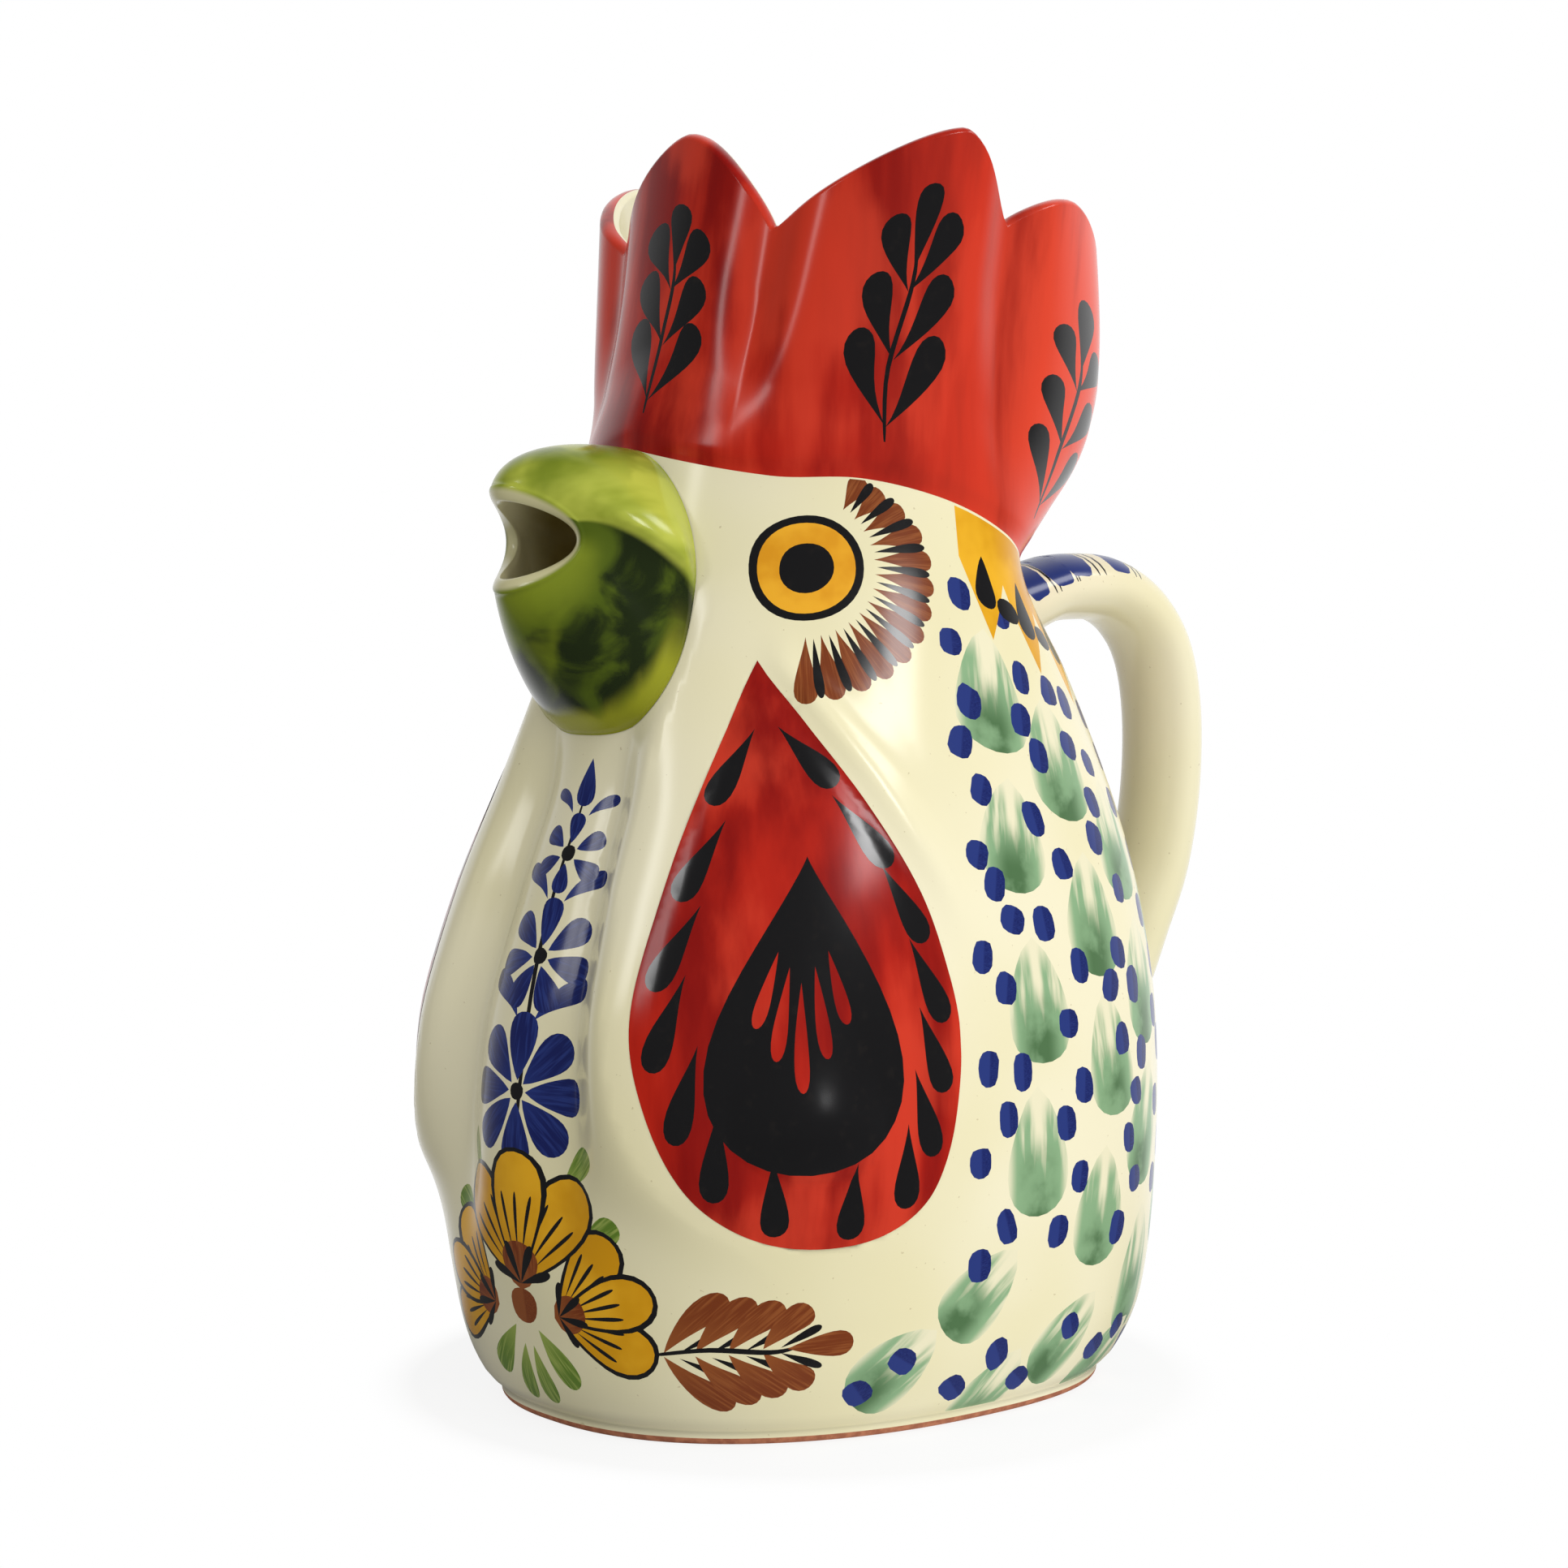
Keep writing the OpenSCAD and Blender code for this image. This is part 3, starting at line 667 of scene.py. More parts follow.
def ribbon(points, width=1.2):
    """A line stroke through a few points, with thinner ends."""
    per_span, taper = 5, 0.35
    spine = spline(np.array(points, float), np.arange((len(points) - 1) * per_span + 1) / per_span)
    e = unit(np.gradient(spine, axis=0))
    t = np.linspace(0, 1, len(spine))
    half = width / 2 * mix(taper, 1, np.sin(np.pi * t) ** 0.5) * wobble(len(t), 0.08)
    aside = half[:, None] * pack(-e[:, 1], e[:, 0])
    return np.vstack([spine + aside, (spine - aside)[::-1]])


def counter_clockwise(outline):
    x, y = outline[:, 0], outline[:, 1]
    area = (x * np.roll(y, -1) - np.roll(x, -1) * y).sum()
    return outline if area > 0 else outline[::-1]


# Where a stroke lies: its place, the scale there, its start, turn and size, and its tone
plain_frame = [0, 0, 1, 1, 0, 0, 1, 0, 1, 1, 0]


class Canvas:
    """A surface of two parameters in roughly millimetres, on which strokes are laid."""

    margin = 0.4   # how far strokes keep from its edges, and the step that its scale is taken over

    def __init__(self, surface, low, high):
        self.surface, self.low, self.high = surface, np.array(low, float), np.array(high, float)
        self.outlines, self.inks, self.frames = [], [], []

    def scale(self, at):
        """Millimetres on the surface for one unit of each parameter."""
        x, y = at
        x0, x1 = x - self.margin, x + self.margin
        y0, y1 = max(y - self.margin, self.low[1]), min(y + self.margin, self.high[1])
        ends = self.surface(np.array([x0, x1, x, x]), np.array([y, y, y0, y1]))
        return np.linalg.norm(ends[1::2] - ends[::2], axis=1) / [x1 - x0, y1 - y0]

    def fill(self, outline, ink, frame=plain_frame):
        """Lays an outline given in the canvas's own units, on top of what is there."""
        self.outlines.append(outline)
        self.inks.append(ink)
        self.frames.append(frame)

    def lay(self, at, outline, ink, start=(0, 0), angle=0.0, size=(1.0, 1.0), side=1):
        """Lays an outline in millimetres at a place, turned by an angle in degrees."""
        at = np.array(at, float)
        scale, c, s = self.scale(at), cosd(angle), sind(angle)
        placed = at + (outline @ [[c, s], [-s, c]] + start) * [side, 1] / scale
        frame = [*at, *scale, start[0] * side, start[1], c * side, s, *size, rng.uniform()]
        self.fill(np.clip(placed, self.low + self.margin, self.high - self.margin), ink, frame)

    def both(self, at, outline, ink, **options):
        """Lays a stroke and its mirror image on the other side."""
        self.lay(at, outline, ink, **options)
        self.lay(at * [-1, 1], outline, ink, side=-1, **options)

    def part(self, grid, ink, hole=None, border=None, flip=False):
        """Triangles over the canvas, cut along every outline, with a hole or within a border."""
        loops = [loop for loop in (border, hole) if loop is not None]
        points, faces = [Vector(p) for p in grid.tolist()], []
        for outline in map(counter_clockwise, loops + self.outlines):
            faces.append(list(range(len(points), len(points) + len(outline))))
            points.extend(Vector(p) for p in outline.tolist())
        out, _, tris, _, _, covers = delaunay_2d_cdt(points, [], faces, 0, 1e-5)
        flat = np.array([[p.x, p.y] for p in out])
        keep = np.array([(border is None or 0 in c) and (hole is None or 0 not in c) for c in covers])
        tris = np.array([t[:3] for t in tris])[keep]
        top = np.array([max(c, default=-1) for c in covers])[keep]
        stroke = np.maximum(top - len(loops), -1)
        inks, frames = np.array(self.inks + [ink])[stroke], np.array(self.frames + [plain_frame])[stroke]
        local = (flat[tris] - frames[:, None, 0:2]) * frames[:, None, 2:4] - frames[:, None, 4:6]
        c, s = frames[:, 6:7], frames[:, 7:8]
        along = (local[..., 0] * c + local[..., 1] * s) / frames[:, 8:9]
        across = (-local[..., 0] * s + local[..., 1] * c) / frames[:, 9:10]
        brush = pack(along, across, frames[:, 10:11])
        x, y = flat.T
        n = normals_of(self.surface, x, y, span_y=(self.low[1], self.high[1]))
        if flip:
            tris, n, brush = tris[:, ::-1], -n, brush[:, ::-1]
        return Part(self.surface(x, y), n, [tuple(t) for t in tris.tolist()], inks, brush.reshape(-1, 3))


def grid_points(xs, ys):
    return pack(*np.meshgrid(xs, ys, indexing="ij")).reshape(-1, 2)


# Node trees, and the glazes and inks made with them
def rgb(code):
    """Linear colour of a hexadecimal code."""
    parts = [int(code[i:i + 2], 16) / 255 for i in (1, 3, 5)]
    return (*(c / 12.92 if c < 0.04045 else ((c + 0.055) / 1.055) ** 2.4 for c in parts), 1)


class Nodes:
    """A node tree, with a function for each kind of node that the looks need."""

    def __init__(self, tree):
        self.tree = tree

    def join(self, value, socket):
        if isinstance(value, bpy.types.NodeSocket):
            self.tree.links.new(value, socket)
        else:
            socket.default_value = value

    def node(self, kind, inputs=None, **settings):
        n = self.tree.nodes.new("ShaderNode" + kind)
        for key, value in settings.items():
            setattr(n, key, value)
        for key, value in (inputs or {}).items():
            self.join(value, n.inputs[key])
        return n

    def maths(self, operation, a, b, clamp=False):
        return self.node("Math", {0: a, 1: b}, operation=operation, use_clamp=clamp).outputs[0]

    def times(self, a, b):
        return self.maths("MULTIPLY", a, b)

    def plus(self, a, b, clamp=False):
        return self.maths("ADD", a, b, clamp)

    def larger(self, a, b):
        return self.maths("MAXIMUM", a, b)

    def rise(self, value, low, high, bottom=0.0, top=1.0):
        """The bottom value under low, the top one over high and smooth between them."""
        inputs = {"Value": value, "From Min": low, "From Max": high, "To Min": bottom, "To Max": top}
        return self.node("MapRange", inputs, interpolation_type="SMOOTHSTEP").outputs["Result"]


class Glaze(Nodes):
    """A glossy material under construction."""

    def __init__(self, name, rough=0.19, shine=0.5, ior=1.5):
        self.mat = bpy.data.materials.new(name)
        self.mat.use_nodes = True
        super().__init__(self.mat.node_tree)
        self.bsdf = self.tree.nodes["Principled BSDF"]
        for key, value in (("Roughness", rough), ("IOR", ior), ("Specular IOR Level", shine)):
            self.bsdf.inputs[key].default_value = value

    def place(self):
        return self.node("TexCoord").outputs["Object"]

    def noise(self, scale, stretch=(1, 1, 1), detail=3, where=None, distort=0.0):
        """Noise of a scale per metre, drawn out along an axis where its stretch is small."""
        drawn = self.node("Mapping", {"Vector": where or self.place(), "Scale": stretch}).outputs[0]
        inputs = {"Vector": drawn, "Scale": scale, "Detail": detail, "Distortion": distort}
        return self.node("TexNoise", inputs).outputs["Fac"]

    def cloud(self, scale, low, high, **more):
        """Noise with its soft edge between two levels."""
        return self.rise(self.noise(scale, **more), low, high)

    def blend(self, share, a, b):
        """Mixes two colours, each a hexadecimal code or a socket."""
        a, b = (rgb(c) if isinstance(c, str) else c for c in (a, b))
        return self.node("Mix", {"Factor": share, "A": a, "B": b}, data_type="RGBA").outputs["Result"]

    def split(self, vector):
        return self.node("SeparateXYZ", {0: vector}).outputs

    def brush(self):
        """Place in the brush stroke, and its way along and across."""
        place = self.node("Attribute", attribute_name="brush").outputs["Vector"]
        return place, *self.split(place)[:2]

    def done(self, colour):
        self.join(colour, self.bsdf.inputs["Base Color"])
        return self.mat


def clouded(name, scale, detail, levels, first, second, **surface):
    """A glaze with soft clouds of two colours."""
    r = Glaze(name, **surface)
    return r.done(r.blend(r.cloud(scale, *levels, detail=detail), first, second))


def streaked(name, dense, thin, share):
    """An ink that is thinner and streaky at the start of its stroke."""
    r = Glaze(name)
    place, along, _ = r.brush()
    fade = r.times(r.rise(along, 0.75, 0.0), share)
    streaks = r.times(r.cloud(2.6, 0.42, 0.68, stretch=(0.6, 5, 1), where=place, detail=2), share)
    return r.done(r.blend(r.larger(fade, streaks), dense, thin))


def cream():
    r = Glaze("cream_glaze")
    warm = r.blend(r.cloud(14, 0.35, 0.7, detail=2), "#E8E1C1", "#E1D9AF")
    specks = r.times(r.cloud(900, 0.76, 0.80, detail=1), 0.5)
    return r.done(r.blend(specks, warm, "#B5A57C"))


def red():
    """Lighter towards the pitcher's back, which is painted light: more light falls on the back."""
    r = Glaze("red_glaze", shine=0.36)
    strokes = r.noise(80, stretch=(1, 1, 0.14), detail=5)
    patches = r.noise(22)
    backwards = r.split(r.place())["Y"]
    # Painted light: a mask that lightens the red towards the back (+y), where more light falls on it.
    thin = r.rise(r.plus(backwards, r.times(patches, 0.03)), -0.015, 0.075)
    base = r.blend(r.rise(strokes, 0.34, 0.66), "#860601", "#B41D09")
    brushed = r.times(r.rise(r.plus(patches, r.times(strokes, 0.6)), 0.76, 0.98), 0.45)
    # Lighter patches of the brushwork, together with the painted light towards the back.
    light = r.larger(brushed, r.times(thin, r.rise(strokes, 0.1, 0.5)))
    return r.done(r.blend(light, base, "#E0472C"))


def black():
    r = Glaze("black_ink", rough=0.17, shine=0.75)
    return r.done(r.blend(r.times(r.cloud(420, 0.58, 0.75, detail=2), 0.4), "#0C0B0D", "#1E1916"))


def feather():
    """A sage wash: dark at its round end, with a pale gap that runs down from its point."""
    r = Glaze("feather_wash")
    place, along, across = r.brush()
    streaks = r.cloud(1.0, 0.34, 0.62, stretch=(1.2, 7, 4), where=place)
    grain = r.cloud(90, 0.35, 0.62, detail=4)
    aside = r.maths("ABSOLUTE", across, 0.0)
    edge = r.times(r.rise(aside, 0.53, 0.34), r.rise(along, 0.01, 0.30))
    gap = r.times(r.rise(aside, 0.13, 0.03), r.rise(along, 0.62, 0.30))
    brushed = r.plus(streaks, r.rise(along, 0.35, 0.80), clamp=True)
    wash = r.times(r.times(edge, brushed), r.maths("SUBTRACT", 1.0, gap))
    pale = r.blend(wash, "#E3DDBC", "#86A97F")
    pool = r.times(r.rise(along, 0.36, 0.80), r.rise(aside, 0.42, 0.08))
    dark = r.times(r.times(pool, r.plus(grain, 0.2, clamp=True)), 0.9)
    return r.done(r.blend(dark, pale, "#41653C"))


def beak_green():
    """Light olive on top, dark and mottled on the sides, yellow-green at the lower edge."""
    r = Glaze("beak_glaze")
    _, along, around = r.brush()
    mottle = r.noise(75, detail=5, distort=0.8)
    patch = r.noise(48, distort=0.4)
    light = r.blend(r.cloud(42, 0.42, 0.60, stretch=(1, 0.35, 1), detail=4), "#B8BE4A", "#7E8C1C")
    back = r.times(r.rise(around, 0.34, 0.08), r.rise(patch, 0.44, 0.60))
    top = r.blend(r.times(back, 0.8), light, "#5F7010")
    deep = r.plus(mottle, r.times(r.rise(along, 0.35, 0.95), 0.16))
    dark = r.blend(r.rise(deep, 0.46, 0.72), "#1A2605", "#4C5D08")
    side = r.blend(r.times(r.rise(patch, 0.60, 0.74), 0.55), dark, "#76840F")
    main = r.blend(r.rise(r.plus(around, r.times(along, 0.10)), 0.488, 0.512), top, side)
    edge = r.rise(r.plus(along, r.times(mottle, 0.16)), 0.36, 0.20)
    low = r.times(r.times(edge, r.rise(around, 0.50, 0.66)), 0.9)
    near = r.rise(r.plus(along, r.times(patch, 0.3)), 0.86, 1.12)
    corner = r.times(r.times(near, r.rise(around, 0.45, 0.6)), 0.75)
    lit = r.blend(corner, r.blend(low, main, "#9A9C1C"), "#808D1C")
    return r.done(r.blend(r.rise(along, 1.20, 1.50), lit, "#C6C094"))


def beak_inside():
    """Cream behind the lips, darkening to olive brown towards the throat: painted shade deep in the
    spout.
    """
    r = Glaze("beak_inside")
    # Painted shade: darker olive brown the deeper the brush runs into the spout, towards the throat.
    depth = r.plus(r.brush()[1], r.times(r.noise(60, detail=4), 0.25))
    return r.done(r.blend(r.rise(depth, 2.20, 2.75), "#CCC49A", "#80703A"))


INKS = {
    "cream": cream, "red": red, "black": black,
    "cobalt": lambda: streaked("cobalt_ink", "#101C5A", "#2C4088", 0.55),
    "brown": lambda: streaked("brown_ink", "#75340F", "#9A5828", 0.6),
    "leaf_green": lambda: streaked("leaf_ink", "#5F7F26", "#A0B057", 0.8),
    "yellow": lambda: clouded("yellow_glaze", 60, 3, (0.38, 0.66), "#D09300", "#E4AA1C"),
    "amber": lambda: clouded("amber_glaze", 90, 3, (0.38, 0.66), "#D8920A", "#E8A820"),
    "feather": feather, "beak_green": beak_green, "beak_inside": beak_inside,
    "clay": lambda: clouded("bare_clay", 500, 4, (0.35, 0.65), "#9C5A3C", "#B5714E", rough=0.75)}


@cache
def glaze(ink):
    """The material of an ink, made when a piece first needs it."""
    return INKS[ink]()


# The body's canvas: x is the angle in rough millimetres, y the share of the height
body_x = 1.32       # millimetres to a degree
recess_d = 1.2      # how deep the body lies under a wattle, and over which widths it gets there
recess_from, recess_to = 0.6, 4
floor_z = foot_h + floor_t
turns = np.linspace(-180, 180, 217)   # angles of the columns round the pitcher


def angle_and_height(x, y, low=foot_h):
    a = x / body_x
    return a, mix(low, base_z(a), y / body_h)


def on_body(a, z, low=foot_h):
    """Canvas place of an angle and a height."""
    return pack(a * body_x, body_h * (z - low) / (base_z(a) - low))


def body_skin(x, y):
    a, z = angle_and_height(x, y)
    inside = (wattle_half(z) - np.abs(np.abs(a) - wattle_mid(z))) * body_x
    return body_at(a, z, relief(a, z) - recess_d * ease(recess_from, recess_to, inside))


def inner_skin(x, y):
    a, z = angle_and_height(x, y, floor_z)
    return body_at(a, z, inner_reach(a, z))


def round_canvas(skin, scale, height):
    return Canvas(skin, (-180 * scale, 0), (180 * scale, height))


def paint_eye(canvas):
    """An amber eye in a black ring, with a regular fan of brown and black rays behind it."""
    at = on_body(47.9, 192.4)
    eye_w, eye_tall, ring, pupil_w, pupil_tall = 26, 24, 1.8, 12.4, 11.2
    rays, fan_high, fan_low, fan_fade = 13, 57, -88, 45
    ray_l, ray_w, ray_gap, short_share = 15, 4.9, 2.6, 0.62
    reach = eye_w / 2 + ray_gap
    for j in range(rays):
        turn = mix(fan_high, fan_low, j / (rays - 1))
        long = ray_l * mix(short_share, 1, ease(fan_high, fan_high - fan_fade, turn))
        canvas.both(at, leaf(long, ray_w, tip=1.2) + [reach, 0], "brown", angle=turn, size=(long, ray_w))
        if j:
            between_rays = turn + (fan_high - fan_low) / (rays - 1) / 2
            thin_ray = leaf(long * 0.9, ray_w * 0.42) + [reach + 0.5, 0]
            canvas.both(at, thin_ray, "black", angle=between_rays)
    even = {"n": 40, "full": 2.1, "amount": 0.012}
    canvas.both(at, spot(eye_w, eye_tall, **even), "black")
    canvas.both(at, spot(eye_w - 2 * ring, eye_tall - 2 * ring, **even), "amber")
    canvas.both(at, spot(pupil_w, pupil_tall, n=28, full=2.1, amount=0.03), "black")


def paint_floret(canvas, at, reach, petals):
    """A blue floret: petals round a black dot."""
    heart, upright = 2.4, 90
    long, wide = reach - heart, reach * 0.48
    for j in range(petals):
        canvas.lay(at, leaf(long, wide, tip=0.8) + [heart, 0], "cobalt",
                   angle=upright + 360 * j / petals, size=(long, wide))
    canvas.lay(at, spot(heart * 1.6, heart * 1.6, 14), "black")


def paint_chest(canvas):
    """Three blue florets on a thin black stem, smaller towards the bud at its top."""
    heart_a, stem_z, bud_z, bud_l, bud_w, twig_turn = 4, 60, 150, 11, 5.2, 34
    florets = ((77, 17.5, 8), (106.5, 13.5, 7), (129, 9.5, 6))
    canvas.lay(on_body(heart_a, stem_z), ribbon([(0, 0), (1.0, 28), (-1.0, 54), (0, 82)]), "black")
    canvas.lay(on_body(heart_a, bud_z), leaf(bud_l, bud_w), "cobalt", angle=-90, size=(bud_l, bud_w))
    for z, reach, petals in florets:
        twig_l, twig_w = reach * 0.9, reach * 0.306
        for side in (1, -1):
            canvas.lay(on_body(heart_a, z + reach * 0.9), leaf(twig_l, twig_w, bend=0.1), "cobalt",
                       start=(2.5, 0), angle=twig_turn, side=side, size=(twig_l, twig_w))
        paint_floret(canvas, on_body(heart_a, z), reach, petals)


def paint_bell(canvas, at, tilt, size):
    """A bell flower seen from the side: three yellow petals with black outlines and hairs."""
    petal_l, petal_w, line, hair_w, knob = 24 * size, 11.5 * size, 0.95, 0.95, 9
    petal = {"tip": 0.75, "blunt": 3}
    for lean in (36, -36, 0):
        turn = tilt + lean
        canvas.lay(at, leaf(petal_l + line, petal_w + 2 * line, **petal), "black", angle=turn)
        canvas.lay(at, leaf(petal_l - line, petal_w - 0.4, **petal) + [line, 0], "yellow", angle=turn)
        for hair in (-12, 0, 12):
            canvas.lay(at, leaf(petal_l * 0.48, hair_w) + [petal_l * 0.22, 0], "black", angle=turn + hair)
    canvas.lay(at, leaf(knob * size, knob * size, tip=0.5, blunt=2) - [1.5, 0], "brown",
               angle=tilt, size=(knob, knob))
    for lean in (70, 24, -24, -70):
        canvas.lay(at, leaf(8 * size, 1.8 * size), "black", angle=tilt + lean)


def paint_flowers(canvas):
    """Three bell flowers that open from one knot, with olive leaves between and below them."""
    heart_a, knot_z, knot_w, knot_tall = 4, 29, 9, 8
    bells = ((-9, 28, 162, 1.0), (9, 28, 18, 1.0), (0, 34, 90, 1.25))
    # Leaves: height, start across and up, length, width and turn from upright
    leaves = ((60, 12, -4, 14, 6, 42), (42, 17, 1, 14, 6.5, 52),
              (24, 4, 0, 16, 6.5, 140), (22, 1.5, -2, 14, 5.5, 168))
    for side in (1, -1):
        for z, across, up, long, wide, turn in leaves:
            canvas.lay(on_body(heart_a, z), leaf(long, wide), "leaf_green", start=(across * side, up),
                       angle=90 - turn * side, size=(long, wide))
    for a, z, tilt, size in bells:
        paint_bell(canvas, on_body(heart_a + a, z), tilt, size)
    canvas.lay(on_body(heart_a, knot_z), spot(knot_w, knot_tall, 20), "brown")


def paint_side_sprig(canvas):
    """A low sprig: a black stem with brown leaves in pairs and a leaf at its end."""
    at, length, lean = on_body(31, 22), 34, 4
    pairs, first_share, gap_share, longest, shortest = 4, 0.06, 0.20, 19, 13
    leaf_w, spread, end_l, vein_w, vein_turn = 6.0, 42, 13, 1.9, 28
    upwards = length * np.array([cosd(lean), sind(lean)])
    for k in range(pairs):
        start = upwards * (first_share + gap_share * k)
        leaf_l = mix(longest, shortest, k / (pairs - 1))
        for side in (1, -1):
            canvas.both(at, leaf(leaf_l, leaf_w, bend=0.05 * side), "brown", size=(leaf_l, leaf_w),
                        start=start + [0, 0.4 * side], angle=lean + spread * side)
            canvas.both(at, leaf(leaf_l * 0.7, vein_w), "black",
                        start=start + [3.4, 0.6 * side], angle=lean + vein_turn * side)
    stem = ribbon([(0, 0), (length * 0.35, 0.9), (length * 0.7, -0.5), (length * 0.84, 0)])
    canvas.both(at, stem, "black", angle=lean)
    end = leaf(end_l, leaf_w) + [length * 0.8, 0]
    canvas.both(at, end, "brown", angle=lean, size=(end_l, leaf_w))


def feather_top(a):
    """How high the feathers reach: to the band under the comb, and lower beside the eye."""
    return base_z(a) - mix(24, 44, ease(86, 128, a))


def paint_feathers(canvas):
    """Washed feathers in staggered columns, with dabs of blue between the columns."""
    column_gap, row_gap, feather_l, feather_w = 16, 33.5, 29.5, 18.5
    first_a, first_z, back_a, top_z = 89, 45, 174, 200
    low_l, low_w, low_turn = 25, 17, -128
    low = ((73, 25), (90, 17), (107, 27), (123, 17), (139, 27), (155, 17), (85, 41))
    dab_w, dab_tall, dab_gap, dab_apart, dab_z, dab_top = 6.3, 7.6, 11.5, 7.8, 39, 9
    low_dab_a, low_dab_gap, low_dab_z, low_dab_turn = 60, 8.3, (9.5, 20, 11.5, 16.5), 40
    columns = list(enumerate(np.arange(first_a, back_a - 4, column_gap)))
    dabs = []

    def wash(a, z, long, wide, turn):
        outline = leaf(long, wide, tip=0.62, blunt=3.2)
        canvas.both(on_body(a, z), outline, "feather", angle=turn + rng.normal() * 6, size=(long, wide))

    def dab(a, z, turn=0):
        """One dab, unless another lies too near."""
        here = np.array([a * body_x, z])
        if dabs and np.linalg.norm(np.array(dabs) - here, axis=1).min() < dab_apart:
            return
        dabs.append(here)
        w, tall = dab_w + rng.normal() * 0.5, dab_tall + rng.normal() * 0.7
        outline = spot(w, tall, n=14, full=2.8, amount=0.08)
        canvas.both(on_body(a, z), outline, "cobalt", angle=turn + rng.normal() * 10)

    for j, a in columns:
        for z in np.arange(first_z + row_gap / 2 * (j % 2), top_z, row_gap):
            if z > feather_top(a) or z < first_z + 1 and a < first_a + 3:
                continue
            long, wide = feather_l + rng.normal() * 1.2, feather_w + rng.normal() * 0.8
            wash(a + rng.normal() * 0.8, z + rng.normal() * 1.2, long, wide, -90)
    for a, z in low:
        wash(a + rng.normal() * 0.6, z, low_l, low_w, low_turn)
    for j, a in enumerate(np.arange(first_a - column_gap / 2, back_a, column_gap)):
        for k, z in enumerate(np.arange(dab_z + dab_gap / 2 * (j % 2), top_z, dab_gap)):
            da, dz = a + (2.2 if k % 2 else -2.2) + rng.normal() * 0.9, z + rng.normal() * 2
            if dz < feather_top(da) + dab_top:
                dab(da, dz)
    for j, a in columns:
        for z in np.arange(first_z + row_gap / 2 * (j % 2) + 2.5, top_z, row_gap):
            if z < feather_top(a) + dab_top:
                dab(a + (3.2 if j % 2 else -3.2), z)
    for k, a in enumerate(np.arange(low_dab_a, back_a - 4, low_dab_gap)):
        dab(a + rng.normal(), low_dab_z[k % 4] + rng.normal(), low_dab_turn)


def paint_nape(canvas):
    """A yellow band under the comb with a zigzag edge, black dots and drops."""
    first_a, last_a, teeth, inset = 84, 177, 6, 0.6
    shallow, deep = (12, 22), (27, 46)
    shortest, longest, drop_w, dot_w, dot_tall, dot_gap = 12, 19, 6, 7.5, 5.6, 6
    lower = []
    for k in range(2 * teeth + 1):
        a = mix(first_a, last_a, k / (2 * teeth))
        depth = mix(*(deep if k % 2 else shallow), k / (2 * teeth))
        lower.append(on_body(a, base_z(a) - depth))
    upper = np.linspace(last_a, first_a, 24)
    band = np.vstack([lower, on_body(upper, base_z(upper) - inset)])
    for side in (1, -1):
        canvas.fill(band * [side, 1], "yellow")
    for k in range(teeth):
        a = mix(first_a, last_a, (k + 0.5) / teeth)
        drop_l = mix(shortest, longest, k / (teeth - 1))
        drawn = leaf(drop_l, drop_w, tip=0.8)
        canvas.both(on_body(a, base_z(a) - drop_l * 0.8), drawn, "black", angle=-90)
        if k:
            a = mix(first_a, last_a, k / teeth)
            dot = spot(dot_w, dot_tall, n=14, full=2.4, amount=0.08)
            canvas.both(on_body(a, base_z(a) - mix(*shallow, k / teeth) - dot_gap), dot, "black")


def angle_for(z, x, reach):
    """Angle at which the body, moved outwards by a reach, is x from the middle."""
    a = throat_angle(x, z)
    for _ in range(8):
        a = a + np.degrees((x - body_at(a, z, reach(a, z))[..., 0]) / curve(body_table, z, 1))
    return a


def body_glaze():
    canvas = round_canvas(body_skin, body_x, body_h)
    for paint in (paint_feathers, paint_nape, paint_side_sprig, paint_chest, paint_flowers, paint_eye):
        paint(canvas)
    xs, g = turns * body_x, np.linspace(0, 360, 48, endpoint=False)
    inner_xs = xs[:-1:2]
    throat_x, z = throat_r * sind(g), throat_z + throat_r * cosd(g)
    hole = on_body(angle_for(z, throat_x, relief), z)
    inner_hole = on_body(angle_for(z, throat_x, inner_reach), z, floor_z)
    outside = canvas.part(grid_points(xs, np.linspace(0, body_h, 101)), "cream", hole=hole)
    inner_grid = grid_points(xs[::2], np.linspace(0, body_h, 45))
    inner_canvas = round_canvas(inner_skin, body_x, body_h)
    inside = inner_canvas.part(inner_grid, "cream", hole=inner_hole, flip=True)
    rim = np.stack([body_skin(*hole.T), inner_skin(*inner_hole.T)])
    rim = np.concatenate([rim, rim[:, :1]], 1)
    tube = sheet(lambda i, j: mix(rim[0][i.astype(int)], rim[1][i.astype(int)], j[..., None]),
                 np.arange(len(g) + 1), np.array([0.0, 1.0]), "cream", flip=True)
    floor = disc(inner_skin(inner_xs, 0 * inner_xs), floor_z, 1, "cream",
                 rim=-row_normals(inner_skin, inner_xs, 0, (0, body_h)))
    under = disc(body_skin(xs[:-1], 0 * xs[:-1]), foot_h, -1, "cream",
                 rim=row_normals(body_skin, xs[:-1], 0, (0, body_h)))
    piece("body_glaze", [outside, inside, tube, floor, under], "body_shell")


# The comb: red outside with black sprigs, cream on its edge and inside
comb_x = 1.15   # millimetres to a degree


def comb_skin(x, y):
    return comb_outer(x / comb_x, y / comb_rise)


